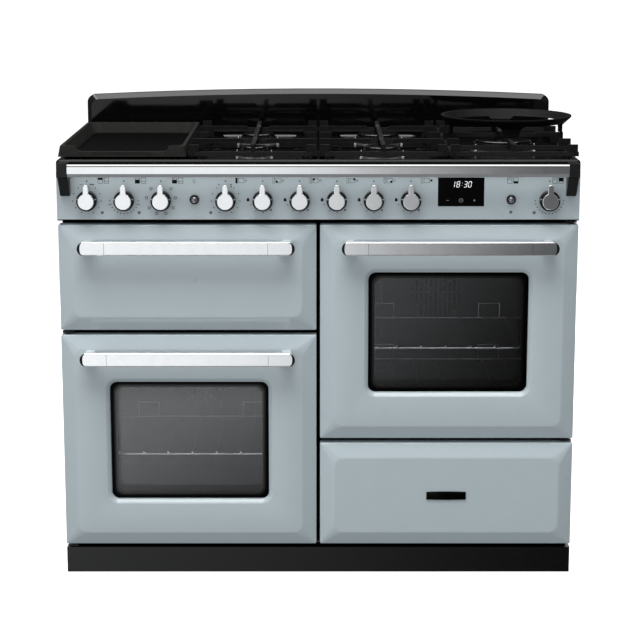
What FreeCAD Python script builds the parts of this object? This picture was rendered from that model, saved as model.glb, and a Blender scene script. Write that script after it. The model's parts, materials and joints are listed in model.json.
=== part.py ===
import FreeCAD, Part

import math
import os

# Free-standing range cooker with a gas hob, two side-hung ovens, a glide-out grill and a drawer.
# Millimetres. X to the right, Y to the back, Z up. The origin is on the floor, under the middle of the box.

V = FreeCAD.Vector
X_AXIS = V(1, 0, 0)
Y_AXIS = V(0, 1, 0)
Z_AXIS = V(0, 0, 1)
SIDES = (-1, 1)
diagonal_share = 1 - math.sqrt(2) / 2

# Overall sizes
cooker_width = 1092.0
hob_height = 905.0
body_depth = 608.0
rail_reach = 40.0
upstand_rise = 98.0
cut_overrun = 2.0
running_clearance = 0.06
fit_clearance = 0.3

# Door and drawer fronts
plinth_height = 58.0
tall_front_height = 465.0
low_front_height = 228.0
front_gap = 8.5
column_gap = 7.0
bevel_width = 30.0
bevel_rise = 14.0
bevel_corner_radius = 20.0
front_edge_radius = 3.0
front_depth = 26.0
front_skin = 2.0
front_return = 24.0

# Oven door windows, liners and seals
window_side = 102.25
window_height = 256.0
window_lift = 3.0
window_radius = 16.0
window_chamfer = 10.0
window_chamfer_depth = 7.0
window_collar = 14.0
pane_thickness = 4.0
pane_margin = 9.0
pane_recess = 2.0
liner_inset = 18.0
liner_depth = 12.0
liner_rebate = 6.0
liner_skin = 3.0
seal_space = 7.0
seal_width = 9.0
seal_offset = 8.0

# Side hinges of the oven doors
hinge_edge = 14.0
hinge_setback = 10.0
hinge_pin_radius = 4.0
hinge_pin_length = 16.0
hinge_plate = 3.0
hinge_width = 22.0
hinge_flange = 26.0
hinge_boss = 18.0

# Bar handles
handle_reach = 40.0
handle_side = 45.25
handle_height = 29.5
handle_depth = 12.0
handle_drop = 44.0
handle_end_length = 56.0
handle_edge_radius = 3.0
handle_leg_width = 26.0
handle_leg_height = 21.0
handle_leg_radius = 9.0
handle_leg_flare = 3.5

# Chassis
chassis_inset = 4.0
sheet = 1.2
floor_sheet = 1.6
frame_sheet = 2.5
rear_space = 36.0
side_flange = 12.0
mouth_radius = 20.0
plinth_setback = 6.0
plinth_board = 2.0
plinth_lift = 2.0
plinth_return = 120.0
plinth_flange = 30.0
foot_radius = 20.0
foot_pad = 9.0
foot_stem_radius = 6.0
foot_nut_radius = 11.0
foot_nut = 8.0
foot_inset = 60.0
louvre_length = 70.0
louvre_height = 6.0
louvre_pitch = 18.0
louvre_rows = 8
louvre_z = 640.0

# Oven cavities
cavity_side = 51.25
cavity_height = 380.0
cavity_depth = 420.0
cavity_wall = 1.2
cavity_flange = 12.0
fan_cover_size = 250.0
fan_cover_depth = 42.0
fan_cover_wall = 1.5
fan_grille_radius = 58.0
fan_slot_width = 6.0
fan_slot_pitch = 11.0
fan_outlet_height = 120.0
fan_radius = 68.0
fan_depth = 24.0
fan_sheet = 1.5
fan_hub_radius = 10.0
fan_blades = 10
fan_gap = 8.0
fan_shaft_radius = 4.0
motor_radius = 38.0
motor_length = 58.0
motor_bearing_depth = 30.0
ring_element_radius = 92.0
element_radius = 3.5
element_gap_angle = 40.0
element_leg_share = 1.2

# Wire shelves and the side racks that carry them
rod_radius = 3.0
shelf_cross_radius = 2.4
shelf_bar_radius = 2.0
shelf_bars = 7
shelf_front_gap = 20.0
shelf_depth = 335.0
shelf_stop_width = 48.0
shelf_stop_height = 34.0
shelf_stop_inset = 89.0
rack_front_gap = 40.0
rack_depth = 280.0
rack_weld = 0.5
rack_levels_shares = (0.09, 0.35, 0.6, 0.84)
left_shelf_levels = (1,)
right_shelf_levels = (0, 1)

# Glide-out grill
grill_side = 51.25
grill_height = 150.0
grill_depth = 400.0
grill_back_inset = 12.0
grill_runner_lift = 21.0
runner_width = 12.0
runner_height = 30.0
runner_length = 372.0
runner_wall = 2.0
slider_clearance = 0.5
slider_ledge = 8.0
slider_length = 372.0
carriage_plate = 2.0
carriage_bar = 14.0
pan_wall = 1.5
pan_flange = 5.0
pan_depth = 330.0
pan_height = 36.0
pan_front_gap = 14.0
pan_side_gap = 0.7
pan_radius = 18.0
trivet_height = 10.0
trivet_margin = 10.0
trivet_bars = 9
grill_element_drop = 14.0
grill_element_passes = 6
grill_element_side = 65.0
grill_element_front_gap = 60.0

# Lower drawer
drawer_mouth_side = 33.25
drawer_mouth_margin = 14.0
drawer_side = 56.25
drawer_height = 140.0
drawer_depth = 400.0
drawer_wall = 2.0
drawer_lift = 36.0
drawer_runner_rise = 40.0
drawer_runner_foot = 22.0
drawer_runner_length = 380.0
drawer_slider_length = 384.0

# Hob tray
hob_depth = 25.0
hob_front_overhang = 6.0
hob_edge_radius = 9.0
hob_roll_radius = 8.0
hob_rim = 15.0
hob_well = 9.0
hob_sheet = 2.0
hob_skirt = 4.0
hob_dish_radius = 104.0
hob_dish_slope = 16.0
hob_dish_depth = 3.0
upstand_thickness = 34.0
upstand_arch = 12.5
upstand_corner = 18.0
upstand_skin = 2.0
upstand_bevel = 10.0
upstand_foot = 25.0

# Gas burners, listed from the left and from the front
burner_pitch = 265.0
burner_cap_radii = (27.0, 37.0, 37.0, 47.0)
burner_cap_inset = 2.5
burner_spigot_radius = 20.0
burner_spigot = 26.0
burner_flange_width = 7.0
burner_flange = 3.0
burner_height = 15.0
burner_cap = 6.0
burner_cap_edge = 2.5
burner_slot_pitch = 9.5
burner_slot_width = 2.4
burner_slot_depth = 7.0
burner_slot_height = 7.0
wok_cap_radius = 62.0
wok_cap_well = 22.0

# Cast-iron pan supports and wok ring
support_gap = 3.0
support_front_gap = 14.0
support_length = 512.0
rail_bottom = 4.0
rail_top = 13.0
finger_top = 28.0
rail_base_width = 13.0
rail_top_width = 9.0
finger_width = 9.0
finger_depth = 8.0
finger_block = 26.0
corner_block = 20.0
finger_tip = 22.0
finger_tip_drop = 5.0
wok_finger_tip = 68.0
support_foot_radius = 6.0
support_foot_inset = 24.0
wok_shift = 6.0
wok_flare = 25.0
wok_rim_rise = 39.0
wok_throat_rise = 18.0
wok_band = 15.0
wok_wall = 6.0
wok_leg_width = 34.0
wok_leg_flare = 22.0

# Griddle and the hotplate under it
griddle_height = 30.0
griddle_foot = 8.0
griddle_foot_inset = 16.0
griddle_wall = 7.0
griddle_floor = 5.0
griddle_radius = 7.0
griddle_inner_radius = 26.0
griddle_draft = 4.0
griddle_lip_depth = 18.0
griddle_front_cut = 12.0
griddle_front_cut_inset = 38.0
griddle_grip_length = 120.0
griddle_grip_height = 7.0
griddle_grip_depth = 3.0
hotplate_side = 15.0
hotplate_depth = 440.0
hotplate_thickness = 4.0
hotplate_seat = 10.0
hotplate_radius = 18.0

# Control panel, knobs and buttons
panel_proud = 6.0
panel_skin = 2.0
panel_opening_margin = 24.0
knob_edge = 63.5
knob_group_gap = 134.65
hob_knobs = 6
left_knobs = 3
knob_height = 42.5
knob_radius = 17.0
knob_reach = 25.0
knob_depth = 15.0
knob_hub_radius = 11.0
knob_tongue = 35.0
knob_tongue_width = 12.0
knob_tongue_depth = 9.0
knob_edge_radius = 1.2
knob_stem_radius = 4.0
knob_stem_length = 22.0
bezel_radius = 21.0
bezel_bore = 13.0
bezel_depth = 7.0
bezel_edge = 2.0
button_height = 44.5
light_button_step = 69.5
warmer_button_step = 80.0
button_bezel_radius = 10.0
button_bezel_depth = 5.0
button_radius = 6.6
button_proud = 8.0
button_edge = 3.0
button_stem_radius = 3.0
button_stem_length = 14.0
button_gap = 0.3
button_travel = 3.0
tap_width = 28.0
tap_depth = 38.0
tap_height = 34.0
manifold_size = 16.0
manifold_end = 40.0
switch_radius = 21.0
switch_depth = 36.0
clock_width = 96.0
clock_height = 60.0
clock_step = 104.75
clock_base = 30.5
clock_proud = 0.6
clock_flange = 4.0
clock_flange_depth = 3.0
clock_body = 24.0

# Gas inlet at the back
inlet_step = 38.75
inlet_pipe_radius = 7.5
inlet_flange_radius = 15.0
inlet_flange = 4.0
inlet_radius = 10.5
inlet_length = 24.0

# Handrail
rail_end_gap = 7.0
rail_height = 15.5
rail_depth = 16.0
rail_top_rise = 3.0
rail_top_set = 4.5
rail_bottom_drop = 7.0
rail_bottom_set = 5.0
rail_z = 880.5
bracket_width = 22.0
bracket_tail = 51.0
bracket_head = 5.0
bracket_tail_depth = 9.0
bracket_chamfer = 3.5

# Places worked out from the sizes above
half_width = cooker_width / 2
overall_depth = body_depth + rail_reach
rail_front_y = -overall_depth / 2
rear_y = overall_depth / 2
face_y = rail_front_y + rail_reach
edge_y = face_y + bevel_rise
front_back_y = edge_y + front_depth
liner_back_y = front_back_y + liner_depth
frame_y = liner_back_y + seal_space
frame_back_y = frame_y + frame_sheet
back_y = rear_y - rear_space
panel_y = edge_y - panel_proud
panel_back_y = panel_y + panel_skin
hob_bottom_z = hob_height - hob_depth
well_z = hob_height - hob_well
top_z = hob_height + upstand_rise
floor_top_z = plinth_height + floor_sheet
chassis_half = half_width - chassis_inset
chassis_inner = chassis_half - sheet
front_width = (cooker_width - column_gap) / 2
window_width = front_width - window_side * 2
handle_length = front_width - handle_side * 2
cavity_width = front_width - cavity_side * 2
grill_width = front_width - grill_side * 2
drawer_mouth_width = front_width - drawer_mouth_side * 2
drawer_width = front_width - drawer_side * 2
grill_element_pitch = (grill_width - grill_element_side * 2) / (grill_element_passes - 1)
column_x = (column_gap + front_width) / 2
fronts_bottom_z = plinth_height + front_gap
fronts_top_z = fronts_bottom_z + tall_front_height + front_gap + low_front_height
panel_bottom_z = fronts_top_z + front_gap
low_left_z = fronts_top_z - low_front_height
tall_right_z = fronts_top_z - tall_front_height
knob_pitch = (half_width - knob_edge - knob_group_gap) / (left_knobs - 1 + (hob_knobs - 1) / 2)
last_hob_knob_x = knob_pitch * (hob_knobs - 1) / 2
clock_x = last_hob_knob_x + clock_step
inlet_x = last_hob_knob_x + inlet_step
rail_length = (half_width - rail_end_gap - bracket_width) * 2
knob_z = panel_bottom_z + knob_height
button_z = panel_bottom_z + button_height
left_oven_z = fronts_bottom_z + tall_front_height / 2 + window_lift
right_oven_z = tall_right_z + tall_front_height / 2 + window_lift
grill_mid_z = low_left_z + low_front_height / 2
cavity_back_y = frame_back_y + cavity_depth
rack_step = rod_radius + shelf_cross_radius - rack_weld
hob_front_y = panel_y - hob_front_overhang
hob_rear_y = rear_y - upstand_thickness
zone_pitch = cooker_width / 4
support_width = zone_pitch - support_gap
hotplate_width = support_width - hotplate_side * 2
support_y = edge_y + support_front_gap
support_end_y = support_y + support_length
wok_y = (support_y + support_end_y) / 2
rail_z0 = hob_height + rail_bottom
rail_z1 = hob_height + rail_top
finger_z = hob_height + finger_top
hotplate_z = well_z + hotplate_thickness
griddle_x = -zone_pitch * 3 / 2
wok_x = zone_pitch * 3 / 2
wok_ring_x = wok_x + wok_shift
wok_rim_radius = (zone_pitch + support_gap) / 2 + wok_shift - fit_clearance
wok_throat_radius = wok_rim_radius - wok_flare
burner_xs = (-zone_pitch / 2, zone_pitch / 2)
burner_ys = (wok_y - burner_pitch / 2, wok_y + burner_pitch / 2)
dish_z = well_z - hob_dish_depth


def box(x0, x1, y0, y1, z0, z1):
    """A block between two corners."""
    return Part.makeBox(x1 - x0, y1 - y0, z1 - z0, V(x0, y0, z0))


def rod(start, end, radius):
    """A round bar from one point to another."""
    return Part.makeCylinder(radius, (end - start).Length, start, end - start)


def rounded_outline(corners, radius):
    """A closed outline of four corners in order, each rounded by an arc of the radius."""
    count = len(corners)
    arcs = []
    for i in range(count):
        corner = corners[i]
        before = (corners[i - 1] - corner).normalize()
        after = (corners[(i + 1) % count] - corner).normalize()
        middle = corner + (before + after) * radius * diagonal_share
        arcs.append((corner + before * radius, middle, corner + after * radius))
    edges = []
    for i in range(count):
        edges.append(Part.Arc(*arcs[i]).toShape())
        edges.append(Part.LineSegment(arcs[i][2], arcs[(i + 1) % count][0]).toShape())
    return Part.Wire(edges)


def upright_outline(x0, x1, z0, z1, radius, y):
    """A rounded rectangle that stands in the XZ plane at y."""
    return rounded_outline([V(x0, y, z0), V(x1, y, z0), V(x1, y, z1), V(x0, y, z1)], radius)


def level_outline(x0, x1, y0, y1, radius, z):
    """A rounded rectangle that lies in the XY plane at z."""
    return rounded_outline([V(x0, y0, z), V(x1, y0, z), V(x1, y1, z), V(x0, y1, z)], radius)


def upright_slab(x0, x1, z0, z1, radius, y0, y1):
    """A rounded rectangle with thickness from y0 to y1."""
    return Part.Face(upright_outline(x0, x1, z0, z1, radius, y0)).extrude(V(0, y1 - y0, 0))


def level_slab(x0, x1, y0, y1, radius, z0, z1):
    """A rounded rectangle with thickness from z0 to z1."""
    return Part.Face(level_outline(x0, x1, y0, y1, radius, z0)).extrude(V(0, 0, z1 - z0))


def loft(lower, upper):
    """A ruled solid between two outlines."""
    return Part.makeLoft([lower, upper], True, True)


def polygon_prism(points, direction):
    """A flat polygon extruded along a vector."""
    return Part.Face(Part.makePolygon(list(points) + [points[0]])).extrude(direction)


def fuse(shapes):
    """One solid from overlapping ones."""
    shapes = list(shapes)
    return shapes[0].multiFuse(shapes[1:]).removeSplitter()


def cut(shape, tools):
    """The shape with every tool taken out."""
    return shape.cut(list(tools))


def mirrored(shape):
    """The shape's mirror image across the middle of the cooker."""
    return shape.mirror(V(0, 0, 0), X_AXIS)


def edges_at_y(shape, y):
    """Edges that lie wholly in the upright plane at y."""
    near = fit_clearance / 10
    return [e for e in shape.Edges if abs(e.BoundBox.YMin - y) < near and abs(e.BoundBox.YMax - y) < near]


def save(name, shapes):
    """Writes one node, from one solid or a list of separate ones."""
    shape = Part.Compound(list(shapes)) if isinstance(shapes, (list, tuple)) else shapes
    shape.exportStep(os.path.join("parts", name + ".step"))


# Fronts of the doors, the grill and the drawer

def raised_block(x0, x1, z0, z1, inset, corner_radius, y_face, y_edge, y_back):
    """A block whose front is a flat field inside a wide bevel that runs out to the edges."""
    edge = upright_outline(x0, x1, z0, z1, front_edge_radius, y_edge)
    field = upright_outline(x0 + inset, x1 - inset, z0 + inset, z1 - inset, corner_radius, y_face)
    rim = Part.Face(edge).extrude(V(0, y_back - y_edge, 0))
    return fuse([rim, loft(edge, field)])


def raised_front(x_mid, z0, z1):
    """A pressed and enamelled front: bevelled face, folded edges and a return round the open back."""
    x0 = x_mid - front_width / 2
    x1 = x_mid + front_width / 2
    skin = front_skin
    outer = raised_block(x0, x1, z0, z1, bevel_width, bevel_corner_radius, face_y, edge_y, front_back_y)
    hollow = raised_block(x0 + skin, x1 - skin, z0 + skin, z1 - skin, bevel_width, bevel_corner_radius,
                          face_y + skin, edge_y + skin, front_back_y - skin)
    fold = front_return
    mouth = upright_slab(x0 + fold, x1 - fold, z0 + fold, z1 - fold, bevel_corner_radius,
                         front_back_y - skin - cut_overrun, front_back_y + cut_overrun)
    return cut(outer, [hollow, mouth])


def window_box(x_mid, z_mid, margin):
    """Corners of the window opening, grown by a margin."""
    half_w = window_width / 2 + margin
    half_h = window_height / 2 + margin
    return x_mid - half_w, x_mid + half_w, z_mid - half_h, z_mid + half_h


def door_panel(x_mid, z0, z_mid, hinge_x):
    """Outer skin of an oven door with its window collar and the two hinge bosses."""
    skin = raised_front(x_mid, z0, z0 + tall_front_height)
    collar = upright_slab(*window_box(x_mid, z_mid, window_collar), window_radius + window_collar,
                          face_y + front_skin / 2, front_back_y)
    bosses = []
    bores = []
    for base_z, into in ((z0, 1), (z0 + tall_front_height, -1)):
        hinge_y = edge_y + hinge_setback
        start = V(hinge_x, hinge_y, base_z + into * front_skin / 2)
        bosses.append(rod(start, start + Z_AXIS * into * hinge_boss, hinge_setback - front_skin / 2))
        mouth = V(hinge_x, hinge_y, base_z - into * cut_overrun)
        depth = cut_overrun + hinge_pin_length
        bores.append(rod(mouth, mouth + Z_AXIS * into * depth, hinge_pin_radius + running_clearance))
    wide = upright_outline(*window_box(x_mid, z_mid, window_chamfer), window_radius + window_chamfer, face_y)
    narrow = upright_outline(*window_box(x_mid, z_mid, 0), window_radius, face_y + window_chamfer_depth)
    through = upright_slab(*window_box(x_mid, z_mid, 0), window_radius, face_y, front_back_y + cut_overrun)
    rebate = upright_slab(*window_box(x_mid, z_mid, pane_margin), window_radius + pane_margin,
                          edge_y + pane_recess, front_back_y + cut_overrun)
    return cut(fuse([skin, collar] + bosses), [loft(wide, narrow), through, rebate] + bores)


def door_panes(x_mid, z_mid):
    """The outer pane in the panel's rebate and the inner pane in the liner's rebate."""
    margin = pane_margin - fit_clearance
    panes = []
    for y0 in (edge_y + pane_recess, front_back_y + liner_rebate - pane_thickness):
        panes.append(upright_slab(*window_box(x_mid, z_mid, margin), window_radius + margin,
                                  y0, y0 + pane_thickness))
    return panes


def door_liner(x_mid, z0, z_mid):
    """Inner pressing of an oven door: a shallow pan that holds the inner pane."""
    half = front_width / 2 - liner_inset
    bottom = z0 + liner_inset
    top = z0 + tall_front_height - liner_inset
    pan = upright_slab(x_mid - half, x_mid + half, bottom, top, mouth_radius, front_back_y, liner_back_y)
    skin = liner_skin
    hollow = upright_slab(x_mid - half + skin, x_mid + half - skin, bottom + skin, top - skin,
                          mouth_radius - skin, front_back_y - cut_overrun, liner_back_y - skin)
    collar = upright_slab(*window_box(x_mid, z_mid, window_collar), window_radius + window_collar,
                          front_back_y, liner_back_y)
    through = upright_slab(*window_box(x_mid, z_mid, 0), window_radius, front_back_y - cut_overrun,
                           liner_back_y + cut_overrun)
    rebate = upright_slab(*window_box(x_mid, z_mid, pane_margin), window_radius + pane_margin,
                          front_back_y - cut_overrun, front_back_y + liner_rebate)
    return cut(fuse([cut(pan, [hollow]), collar]), [through, rebate])


def bar_handle(x_mid, front_top_z):
    """A flat bar between two round-ended caps, each on a leg that stands on the door."""
    z_mid = front_top_z - handle_drop
    y0 = face_y - handle_reach
    half = handle_length / 2
    bar = upright_slab(x_mid - half, x_mid + half, z_mid - handle_height / 2, z_mid + handle_height / 2,
                       handle_height / 2 - fit_clearance, y0, y0 + handle_depth)
    bar = bar.makeFillet(handle_edge_radius, edges_at_y(bar, y0) + edges_at_y(bar, y0 + handle_depth))
    seam = half - handle_end_length
    reach = handle_height
    middle = bar.common(box(x_mid - seam, x_mid + seam, y0 - reach, y0 + reach, z_mid - reach, z_mid + reach))
    pieces = [middle]
    for side in SIDES:
        inner = x_mid + side * (seam + fit_clearance)
        outer = x_mid + side * (half + cut_overrun)
        clip = box(min(inner, outer), max(inner, outer), y0 - reach, y0 + reach, z_mid - reach, z_mid + reach)
        leg_x = x_mid + side * (half - handle_height / 2 - handle_leg_flare)
        pieces.append(fuse([bar.common(clip), handle_leg(leg_x, y0 + handle_depth / 2, z_mid)]))
    return pieces


def handle_leg(x, y0, z):
    """Leg of a handle's end cap, which flares towards the door."""
    half_w = handle_leg_width / 2
    half_h = handle_leg_height / 2
    flare = handle_leg_flare
    head = upright_outline(x - half_w, x + half_w, z - half_h, z + half_h, handle_leg_radius, y0)
    foot = upright_outline(x - half_w - flare, x + half_w + flare, z - half_h - flare, z + half_h + flare,
                           handle_leg_radius + flare, face_y)
    return loft(head, foot)


def hinge_brackets():
    """Four angle brackets on the front frame, each with the pin that an oven door turns on."""
    brackets = []
    doors = ((-1, fronts_bottom_z), (1, tall_right_z))
    for side, z0 in doors:
        pin_x = side * (half_width - hinge_edge)
        x0 = pin_x - hinge_width / 2
        x1 = pin_x + hinge_width / 2
        for door_z, into in ((z0, 1), (z0 + tall_front_height, -1)):
            plate_mid = door_z - into * front_gap / 2
            z_low = plate_mid - hinge_plate / 2
            z_high = plate_mid + hinge_plate / 2
            front = edge_y + hinge_setback - hinge_width / 2 + bevel_rise / 2
            plate = box(x0, x1, front, frame_y, z_low, z_high)
            flange_top = plate_mid + into * hinge_flange
            flange = box(x0, x1, frame_y - hinge_plate, frame_y, min(z_low, flange_top), max(z_high, flange_top))
            start = V(pin_x, edge_y + hinge_setback, plate_mid)
            length = front_gap / 2 + hinge_pin_length - fit_clearance
            brackets.append(fuse([plate, flange, rod(start, start + Z_AXIS * into * length, hinge_pin_radius)]))
    return brackets


# Chassis

def plinth():
    """Kickboard with short side returns and a flange that screws under the floor pan."""
    y0 = edge_y + plinth_setback
    board = box(-half_width, half_width, y0, y0 + plinth_board, plinth_lift, plinth_height)
    returns = [box(min(s * half_width, s * (half_width - plinth_board)),
                   max(s * half_width, s * (half_width - plinth_board)),
                   y0, y0 + plinth_return, plinth_lift, plinth_height) for s in SIDES]
    flange = box(-half_width, half_width, y0, frame_y + plinth_flange, plinth_height - sheet, plinth_height)
    return fuse([board, flange] + returns)


def levelling_feet():
    """Screw feet: a tapered pad, a threaded stem and a lock nut under the floor pan."""
    feet = []
    xs = [side * (chassis_half - foot_inset) for side in SIDES]
    for x in xs:
        for y in (frame_back_y + foot_inset, back_y - foot_inset):
            pad = Part.makeCone(foot_radius, foot_stem_radius * 2, foot_pad, V(x, y, 0))
            stem = rod(V(x, y, foot_pad / 2), V(x, y, plinth_height), foot_stem_radius)
            turns = [math.radians(60 * i) for i in range(6)]
            corners = [V(x + foot_nut_radius * math.cos(a), y + foot_nut_radius * math.sin(a),
                         plinth_height - foot_nut) for a in turns]
            feet.append(fuse([pad, stem, polygon_prism(corners, V(0, 0, foot_nut))]))
    return feet


def side_panels():
    """Outer side sheets, each with a flange at the top that carries the hob."""
    panels = []
    for side in SIDES:
        inner = side * chassis_inner
        outer = side * chassis_half
        flange = side * (chassis_inner - side_flange)
        wall = box(min(inner, outer), max(inner, outer), frame_y, back_y, plinth_height, hob_bottom_z)
        fold = box(min(flange, outer), max(flange, outer), frame_back_y, back_y - sheet,
                   hob_bottom_z - sheet, hob_bottom_z)
        panels.append(fuse([wall, fold]))
    return panels


def back_panel():
    """Rear sheet with two banks of vent slots and the hole for the gas inlet."""
    wall = box(-chassis_inner, chassis_inner, back_y - sheet, back_y, plinth_height, hob_bottom_z)
    slots = []
    for side in SIDES:
        for row in range(louvre_rows):
            z = louvre_z + (row - (louvre_rows - 1) / 2) * louvre_pitch
            x = side * column_x
            slots.append(upright_slab(x - louvre_length / 2, x + louvre_length / 2, z - louvre_height / 2,
                                      z + louvre_height / 2, louvre_height / 2 - fit_clearance,
                                      back_y - sheet - cut_overrun, back_y + cut_overrun))
    hole = rod(V(inlet_x, back_y - sheet - cut_overrun, knob_z), V(inlet_x, back_y + cut_overrun, knob_z),
               inlet_pipe_radius + fit_clearance)
    return cut(wall, slots + [hole])


def base_pan():
    """Floor of the chassis."""
    return box(-chassis_inner, chassis_inner, frame_y, back_y - sheet, plinth_height, floor_top_z)


def oven_mouth(x_mid, z_mid, width, height, y0, y1):
    """Rounded opening of a compartment, as a cutter."""
    return upright_slab(x_mid - width / 2, x_mid + width / 2, z_mid - height / 2, z_mid + height / 2,
                        mouth_radius, y0, y1)


def front_frame():
    """Front sheet of the chassis with the compartments' mouths and the opening behind the controls."""
    y0 = frame_y - cut_overrun
    y1 = frame_back_y + cut_overrun
    wall = box(-chassis_inner, chassis_inner, frame_y, frame_back_y, floor_top_z, hob_bottom_z)
    margin = panel_opening_margin
    half = half_width - margin
    drawer_z0 = fronts_bottom_z + drawer_mouth_margin
    drawer_z1 = tall_right_z - front_gap - drawer_mouth_margin
    mouths = [
        oven_mouth(-column_x, left_oven_z, cavity_width, cavity_height, y0, y1),
        oven_mouth(column_x, right_oven_z, cavity_width, cavity_height, y0, y1),
        oven_mouth(-column_x, grill_mid_z, grill_width, grill_height, y0, y1),
        oven_mouth(column_x, (drawer_z0 + drawer_z1) / 2, drawer_mouth_width, drawer_z1 - drawer_z0, y0, y1),
        box(-half, half, y0, y1, panel_bottom_z + margin, hob_bottom_z - margin / 2),
    ]
    return cut(wall, mouths)


def cavity(x_mid, z_mid, width, height, depth, shaft_hole):
    """Enamelled compartment liner: a rounded box, open in front, with a flange behind the front frame."""
    back = frame_back_y + depth
    wall = cavity_wall
    outer = upright_slab(x_mid - width / 2 - wall, x_mid + width / 2 + wall, z_mid - height / 2 - wall,
                         z_mid + height / 2 + wall, mouth_radius + wall, frame_back_y, back + wall)
    rim = wall + cavity_flange
    flange = upright_slab(x_mid - width / 2 - rim, x_mid + width / 2 + rim, z_mid - height / 2 - rim,
                          z_mid + height / 2 + rim, mouth_radius + rim, frame_back_y, frame_back_y + wall)
    tools = [oven_mouth(x_mid, z_mid, width, height, frame_back_y - cut_overrun, back)]
    if shaft_hole:
        tools.append(rod(V(x_mid, back - cut_overrun, z_mid), V(x_mid, back + wall + cut_overrun, z_mid),
                         fan_shaft_radius + cut_overrun))
    return cut(fuse([outer, flange]), tools)


def door_seal(x_mid, z_mid):
    """Gasket ring that stands on the front frame round an oven's mouth."""
    inner_w = cavity_width / 2 + seal_offset
    inner_h = cavity_height / 2 + seal_offset
    y0 = liner_back_y + fit_clearance
    outer = upright_slab(x_mid - inner_w - seal_width, x_mid + inner_w + seal_width,
                         z_mid - inner_h - seal_width, z_mid + inner_h + seal_width,
                         mouth_radius + seal_offset + seal_width, y0, frame_y)
    front_edges = edges_at_y(outer, y0)
    outer = outer.makeFillet(seal_space / 3, front_edges)
    inner = upright_slab(x_mid - inner_w, x_mid + inner_w, z_mid - inner_h, z_mid + inner_h,
                         mouth_radius + seal_offset, y0 - cut_overrun, frame_y + cut_overrun)
    return cut(outer, [inner])


# Oven fans and heating elements

def fan_cover(x_mid, z_mid):
    """Baffle pan on the oven's back wall with an intake grille of upright slots and side outlets."""
    half = fan_cover_size / 2
    front = cavity_back_y - fan_cover_depth
    wall = fan_cover_wall
    pan = upright_slab(x_mid - half, x_mid + half, z_mid - half, z_mid + half, mouth_radius, front, cavity_back_y)
    hollow = upright_slab(x_mid - half + wall, x_mid + half - wall, z_mid - half + wall, z_mid + half - wall,
                          mouth_radius - wall, front + wall, cavity_back_y + cut_overrun)
    slots = []
    reach = int(fan_grille_radius / fan_slot_pitch)
    for i in range(-reach, reach + 1):
        offset = i * fan_slot_pitch
        tall = math.sqrt(fan_grille_radius ** 2 - offset ** 2)
        x = x_mid + offset
        slots.append(upright_slab(x - fan_slot_width / 2, x + fan_slot_width / 2, z_mid - tall, z_mid + tall,
                                  fan_slot_width / 2 - fit_clearance, front - cut_overrun,
                                  front + wall + cut_overrun))
    outlet = box(x_mid - half - cut_overrun, x_mid + half + cut_overrun, front + fan_cover_depth / 3,
                 cavity_back_y - fan_cover_depth / 3, z_mid - fan_outlet_height / 2, z_mid + fan_outlet_height / 2)
    return cut(cut(pan, [hollow]), slots + [outlet])


def fan_motor(x_mid, z_mid):
    """Motor can behind the oven, with the bearing that the fan's shaft runs in."""
    start = V(x_mid, cavity_back_y + cavity_wall, z_mid)
    can = rod(start, start + Y_AXIS * motor_length, motor_radius)
    bearing = rod(start - Y_AXIS * cut_overrun, start + Y_AXIS * motor_bearing_depth,
                  fan_shaft_radius + running_clearance)
    return cut(can, [bearing])


def oven_fan(x_mid, z_mid):
    """Paddle fan: a disc with straight blades on a hub, and the shaft into the motor."""
    back = cavity_back_y - fan_gap
    centre = V(x_mid, back, z_mid)
    disc = rod(centre - Y_AXIS * fan_sheet, centre, fan_radius)
    hub = rod(centre - Y_AXIS * fan_depth, centre, fan_hub_radius)
    shaft = rod(centre - Y_AXIS * fan_sheet, V(x_mid, cavity_back_y + cavity_wall + motor_bearing_depth
                                               - fit_clearance, z_mid), fan_shaft_radius)
    blades = []
    for i in range(fan_blades):
        blade = box(x_mid + fan_hub_radius / 2, x_mid + fan_radius - fan_sheet, back - fan_depth, back - fan_sheet / 2,
                    z_mid - fan_sheet / 2, z_mid + fan_sheet / 2)
        blade.rotate(centre, Y_AXIS, 360 * i / fan_blades)
        blades.append(blade)
    return fuse([disc, hub, shaft] + blades)


def ring_element(x_mid, z_mid):
    """Round heating element behind the fan cover, on two legs from the oven's back wall."""
    y = cavity_back_y - fan_cover_depth / 2
    open_angle = element_gap_angle
    ring = Part.makeTorus(ring_element_radius, element_radius, V(0, 0, 0), Z_AXIS, 0, 360, 360 - open_angle)
    ring.rotate(V(0, 0, 0), Z_AXIS, 90 + open_angle / 2)
    ring.rotate(V(0, 0, 0), X_AXIS, 90)
    ring.translate(V(x_mid, y, z_mid))
    legs = []
    for side in SIDES:
        turn = math.radians(90 + side * open_angle / 2)
        x = x_mid + ring_element_radius * math.cos(turn)
        z = z_mid + ring_element_radius * math.sin(turn)
        legs.append(rod(V(x, y - element_radius / 2, z), V(x, cavity_back_y, z), element_radius * element_leg_share))
    return fuse([ring] + legs)


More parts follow.
